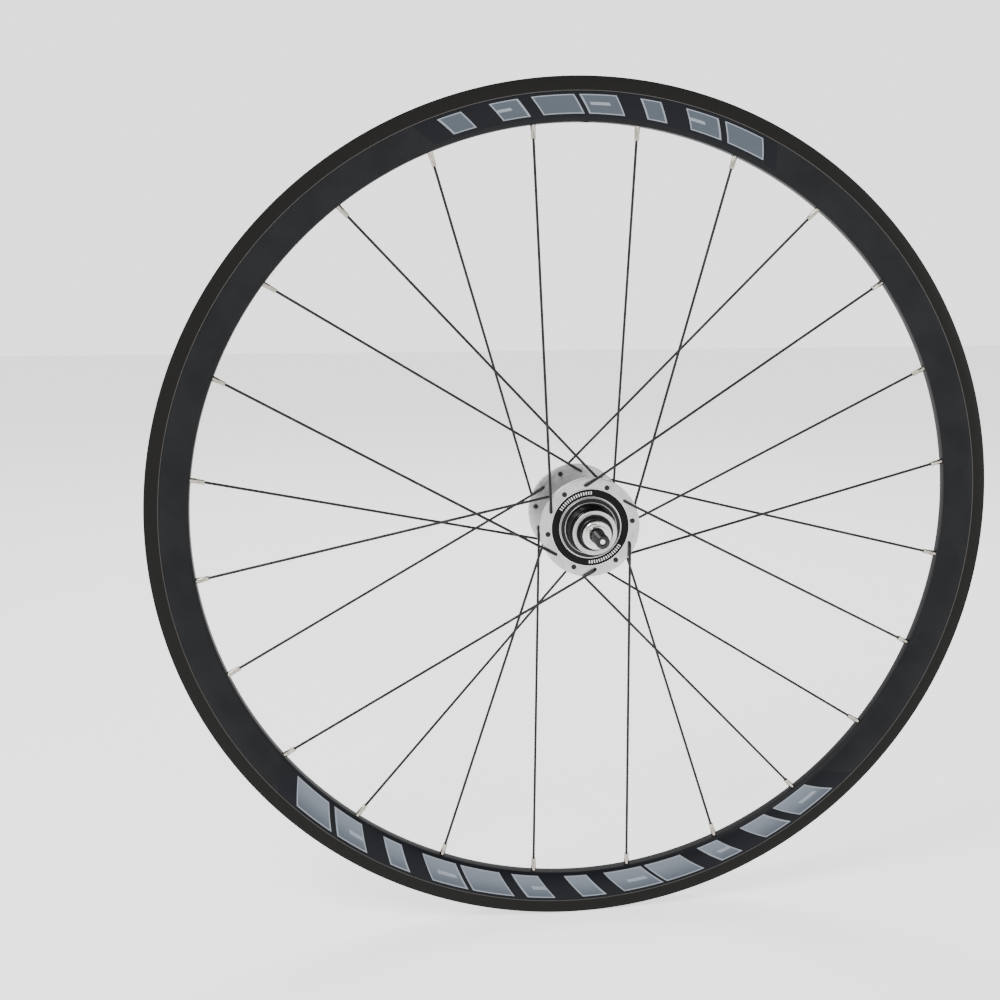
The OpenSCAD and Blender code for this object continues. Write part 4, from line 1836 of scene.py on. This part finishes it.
@dataclass
class Axle:
    """The axle with its sleeve, cover spacers and locknuts. Sizes in millimetres."""

    shop: Workshop
    finishes: Finishes
    hub: Hub
    axle_r: float = 5.0
    half_l: float = 78.0
    half_span: float = 60.0
    locknut_t: float = 5.0
    locknut_r: float = 8.2
    flange_r: float = 10.4
    flange_t: float = 2.4
    flats_half: float = 7.5
    cover_r: float = 11.0
    cover_t: float = 2.2
    spacer_r: float = 9.0
    neck_r: float = 7.0
    gap: float = 0.05
    turning_gap: float = 0.35

    def rod(self) -> bpy.types.Mesh:
        """The axle, threaded at both ends, with a centre recess in each.

        Returns:
            The mesh.
        """
        o = Outline(pitch=1.0, thread_depth=0.5)
        end, start = self.half_l, self.half_span - 9.0
        o.to(0.0, -end + 1.9).to(0.9, -end + 1.5).to(2.3, -end + 1.4, 0.15).to(2.6, -end, 0.15)
        self._threaded(o, -end, -start)
        o.to(self.axle_r, -start + 0.4)
        o.to(self.axle_r, start - 0.4)
        self._threaded(o, start, end)
        o.to(2.6, end, 0.15).to(2.3, end - 1.4, 0.15).to(0.9, end - 1.5).to(0.0, end - 1.9)
        return self.shop.turned("axle_rod", o, self.finishes.axle, 96)

    def _threaded(self, o: Outline, low: float, high: float) -> None:
        """Adds a stretch of thread, chamfered at the axle's end and cut by the stop groove.

        Args:
            o: the outline.
            low: height where the stretch starts.
            high: height where it ends.
        """
        count = round((high - low) * 10)
        for height in np.linspace(low, high, count + 1):
            spare = self.half_l - abs(height)
            radius = self.axle_r if spare > 0.8 else self.axle_r - (0.8 - spare)
            if self.half_span - 0.8 < abs(height) < self.half_span + 0.4:
                radius = self.axle_r - 0.45
            o.stations.append((radius, float(height), 0.0, 1000.0, self.axle_r))

    def sleeve(self) -> bpy.types.Mesh:
        """The sleeve between the two inner races.

        Returns:
            The mesh.
        """
        low = -self.hub.drive_end + self.hub.pocket_depth
        high = self.hub.far_end - self.hub.pocket_depth
        o = Outline()
        inner = self.axle_r + self.gap
        o.to(inner, low, 0.2).to(self.neck_r, low, 0.3).to(self.neck_r, high, 0.3).to(inner, high, 0.2)
        return self.shop.turned("sleeve", o, self.finishes.sleeve, 96)

    def cover(self, side: Side) -> bpy.types.Mesh:
        """The disc over a dust seal, with its neck and its flatted spacer.

        Args:
            side: the side it is on.

        Returns:
            The mesh.
        """
        end = self.hub.drive_end if side is Side.DRIVE else self.hub.far_end
        foot = end - self.hub.seal_sink - self.hub.seal_t
        disc = end + self.turning_gap
        top = self.half_span - self.locknut_t
        rows = [
            (self.axle_r + self.gap, foot, 0.1, 1000.0),
            (self.neck_r, foot, 0.15, 1000.0),
            (self.neck_r, disc, 0.15, 1000.0),
            (self.cover_r, disc, 0.25, 1000.0),
            (self.cover_r, disc + self.cover_t - 0.35, 0.2, 1000.0),
            (self.cover_r - 0.45, disc + self.cover_t, 0.2, 1000.0),
            (self.spacer_r + 0.35, disc + self.cover_t, 0.0, 1000.0),
            (self.spacer_r + 0.3, disc + self.cover_t - 0.001, 0.0, 1000.0),
            (self.spacer_r, disc + self.cover_t + 0.001, 0.0, self.flats_half),
            (self.spacer_r, top - 0.3, 0.1, self.flats_half),
            (self.spacer_r - 0.3, top, 0.1, self.flats_half - 0.3),
            (self.axle_r + self.gap, top, 0.1, 1000.0),
        ]
        o = Outline()
        for r, h, rounding, flat in rows:
            o.to(r, h * side.value, rounding, flat)
        return self.shop.turned("cover", o, self.finishes.cover, 192)

    def locknut(self, side: Side) -> bpy.types.Mesh:
        """The locknut with its two flats.

        Args:
            side: the side it is on.

        Returns:
            The mesh.
        """
        low, high = self.half_span - self.locknut_t, self.half_span
        rows = [
            (self.axle_r + self.gap, low, 0.1, 1000.0),
            (self.flange_r, low, 0.3, 1000.0),
            (self.flange_r, low + self.flange_t - 0.5, 0.2, 1000.0),
            (self.flange_r - 0.5, low + self.flange_t, 0.2, 1000.0),
            (self.locknut_r + 0.25, low + self.flange_t, 0.0, 1000.0),
            (self.locknut_r + 0.2, low + self.flange_t - 0.001, 0.0, 1000.0),
            (self.locknut_r, low + self.flange_t + 0.001, 0.0, self.flats_half),
            (self.locknut_r, high - 0.8, 0.15, self.flats_half),
            (self.flats_half, high - 0.78, 0.0, 1000.0),
            (self.flats_half - 0.4, high, 0.15, 1000.0),
            (self.axle_r + self.gap, high, 0.25, 1000.0),
        ]
        o = Outline()
        for r, h, rounding, flat in rows:
            o.to(r, h * side.value, rounding, flat)
        return self.shop.turned("locknut", o, self.finishes.chrome, 192)

    def build(self) -> None:
        """Makes the axle and everything that is clamped on it."""
        body = "axle_assembly"
        self.shop.place("axle_rod", self.rod(), body, "axle_black", ["axle"], 28.0)
        self.shop.place("bearing_sleeve", self.sleeve(), body, "sleeve_steel", ["axle_sleeve"])
        for side in Side:
            word = side.word
            spacer, nut = [f"cover_spacer_{word}"], [f"locknut_{word}"]
            self.shop.place(f"black_cover_{word}", self.cover(side), body, "cover_black", spacer, 25.0)
            self.shop.place(f"chrome_locknut_{word}", self.locknut(side), body, "spacer_chrome", nut, 25.0)


# ---------------------------------------------------------------- the studio


@dataclass
class Studio:
    """Pale floor, soft lights and the camera. Lengths in metres."""

    camera_at: tuple = (-0.1604, -0.8594, 0.19)
    pan: float = 0.1465
    tilt: float = -0.1926
    lens: float = 42.7
    shift: tuple = (-0.0385, -0.0069)
    floor_glow: float = 1.15

    def camera(self) -> None:
        """Makes the camera."""
        data = bpy.data.cameras.new("camera")
        data.lens = self.lens
        data.sensor_width = 36.0
        data.shift_x, data.shift_y = self.shift
        data.clip_start, data.clip_end = 0.01, 50.0
        made = bpy.data.objects.new("camera", data)
        made.location = self.camera_at
        turn = Matrix.Rotation(-self.pan, 4, "Z") @ Matrix.Rotation(math.pi / 2 + self.tilt, 4, "X")
        made.rotation_euler = turn.to_euler()
        bpy.context.scene.collection.objects.link(made)
        bpy.context.scene.camera = made

    def floor(self) -> None:
        """Makes the floor that the rim stands on."""
        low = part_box("rim")[0].z - 0.0002
        paint = Paint("pale_floor")
        cloud = paint.noise(3.0, 2.0)
        colour = paint.mix(cloud, (0.90, 0.90, 0.90, 1), (0.93, 0.93, 0.93, 1))
        finish = paint.coat(
            Base_Color=colour,
            Roughness=cloud * 0.1 + 0.75,
            Emission_Color=(1.0, 1.0, 1.0, 1.0),
            Emission_Strength=self.floor_glow,
        )
        half = 6.0
        points = np.array([(-half, -half, low), (half, -half, low), (half, half, low), (-half, half, low)])
        made = bpy.data.objects.new("floor", mesh_of("floor", points, [], [(0, 1, 2, 3)]))
        made.data.materials.append(finish)
        bpy.context.scene.collection.objects.link(made)

    def light(self, name: str, at: tuple, aim: tuple, size: tuple, power: float) -> None:
        """Makes one soft light.

        Args:
            name: its name.
            at: where it stands.
            aim: what it faces.
            size: its width and height.
            power: its power in watts.
        """
        data = bpy.data.lights.new(name, "AREA")
        data.shape = "RECTANGLE"
        data.size, data.size_y = size
        data.energy = power
        made = bpy.data.objects.new(name, data)
        made.location = at
        made.rotation_euler = (Vector(aim) - Vector(at)).to_track_quat("-Z", "Y").to_euler()
        bpy.context.scene.collection.objects.link(made)

    def build(self) -> None:
        """Makes the studio."""
        self.camera()
        self.floor()
        self.light("key", (-1.2, -1.0, 1.7), (0.0, 0.0, 0.05), (0.9, 0.9), 48.0)
        self.light("fill", (1.5, -1.3, 0.5), (0.0, 0.0, 0.0), (0.8, 1.4), 8.0)
        self.light("back", (0.3, 1.6, 1.5), (0.0, 0.0, 0.0), (1.8, 0.8), 26.0)
        world = bpy.data.worlds.new("studio_air")
        world.use_nodes = True
        air = Graph(world.node_tree)
        back = next(n for n in air.tree.nodes if n.type == "BACKGROUND")
        back.inputs["Color"].default_value = (1.0, 1.0, 1.0, 1.0)
        way = air.node("ShaderNodeSeparateXYZ", Vector=air.node("ShaderNodeTexCoord").outputs["Generated"])
        air.feed(back.inputs["Strength"], air.number(way.outputs[2]).size().step(0.2, 0.65, 2.1, 0.26))
        bpy.context.scene.world = world


def main() -> None:
    """Builds the wheel round the frame, then the studio."""
    logging.basicConfig(level=logging.INFO, format="%(name)s %(message)s")
    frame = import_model()
    shop = Workshop()
    finishes = Finishes()
    spokes = Spokes(shop, finishes)
    hub = Hub(shop, finishes, spokes)
    Rim(shop, finishes, spokes).build()
    spokes.build()
    hub.build()
    Bearings(shop, finishes, frame["nodes"]).build()
    Axle(shop, finishes, hub).build()
    Studio().build()


if __name__ == "__main__":
    main()
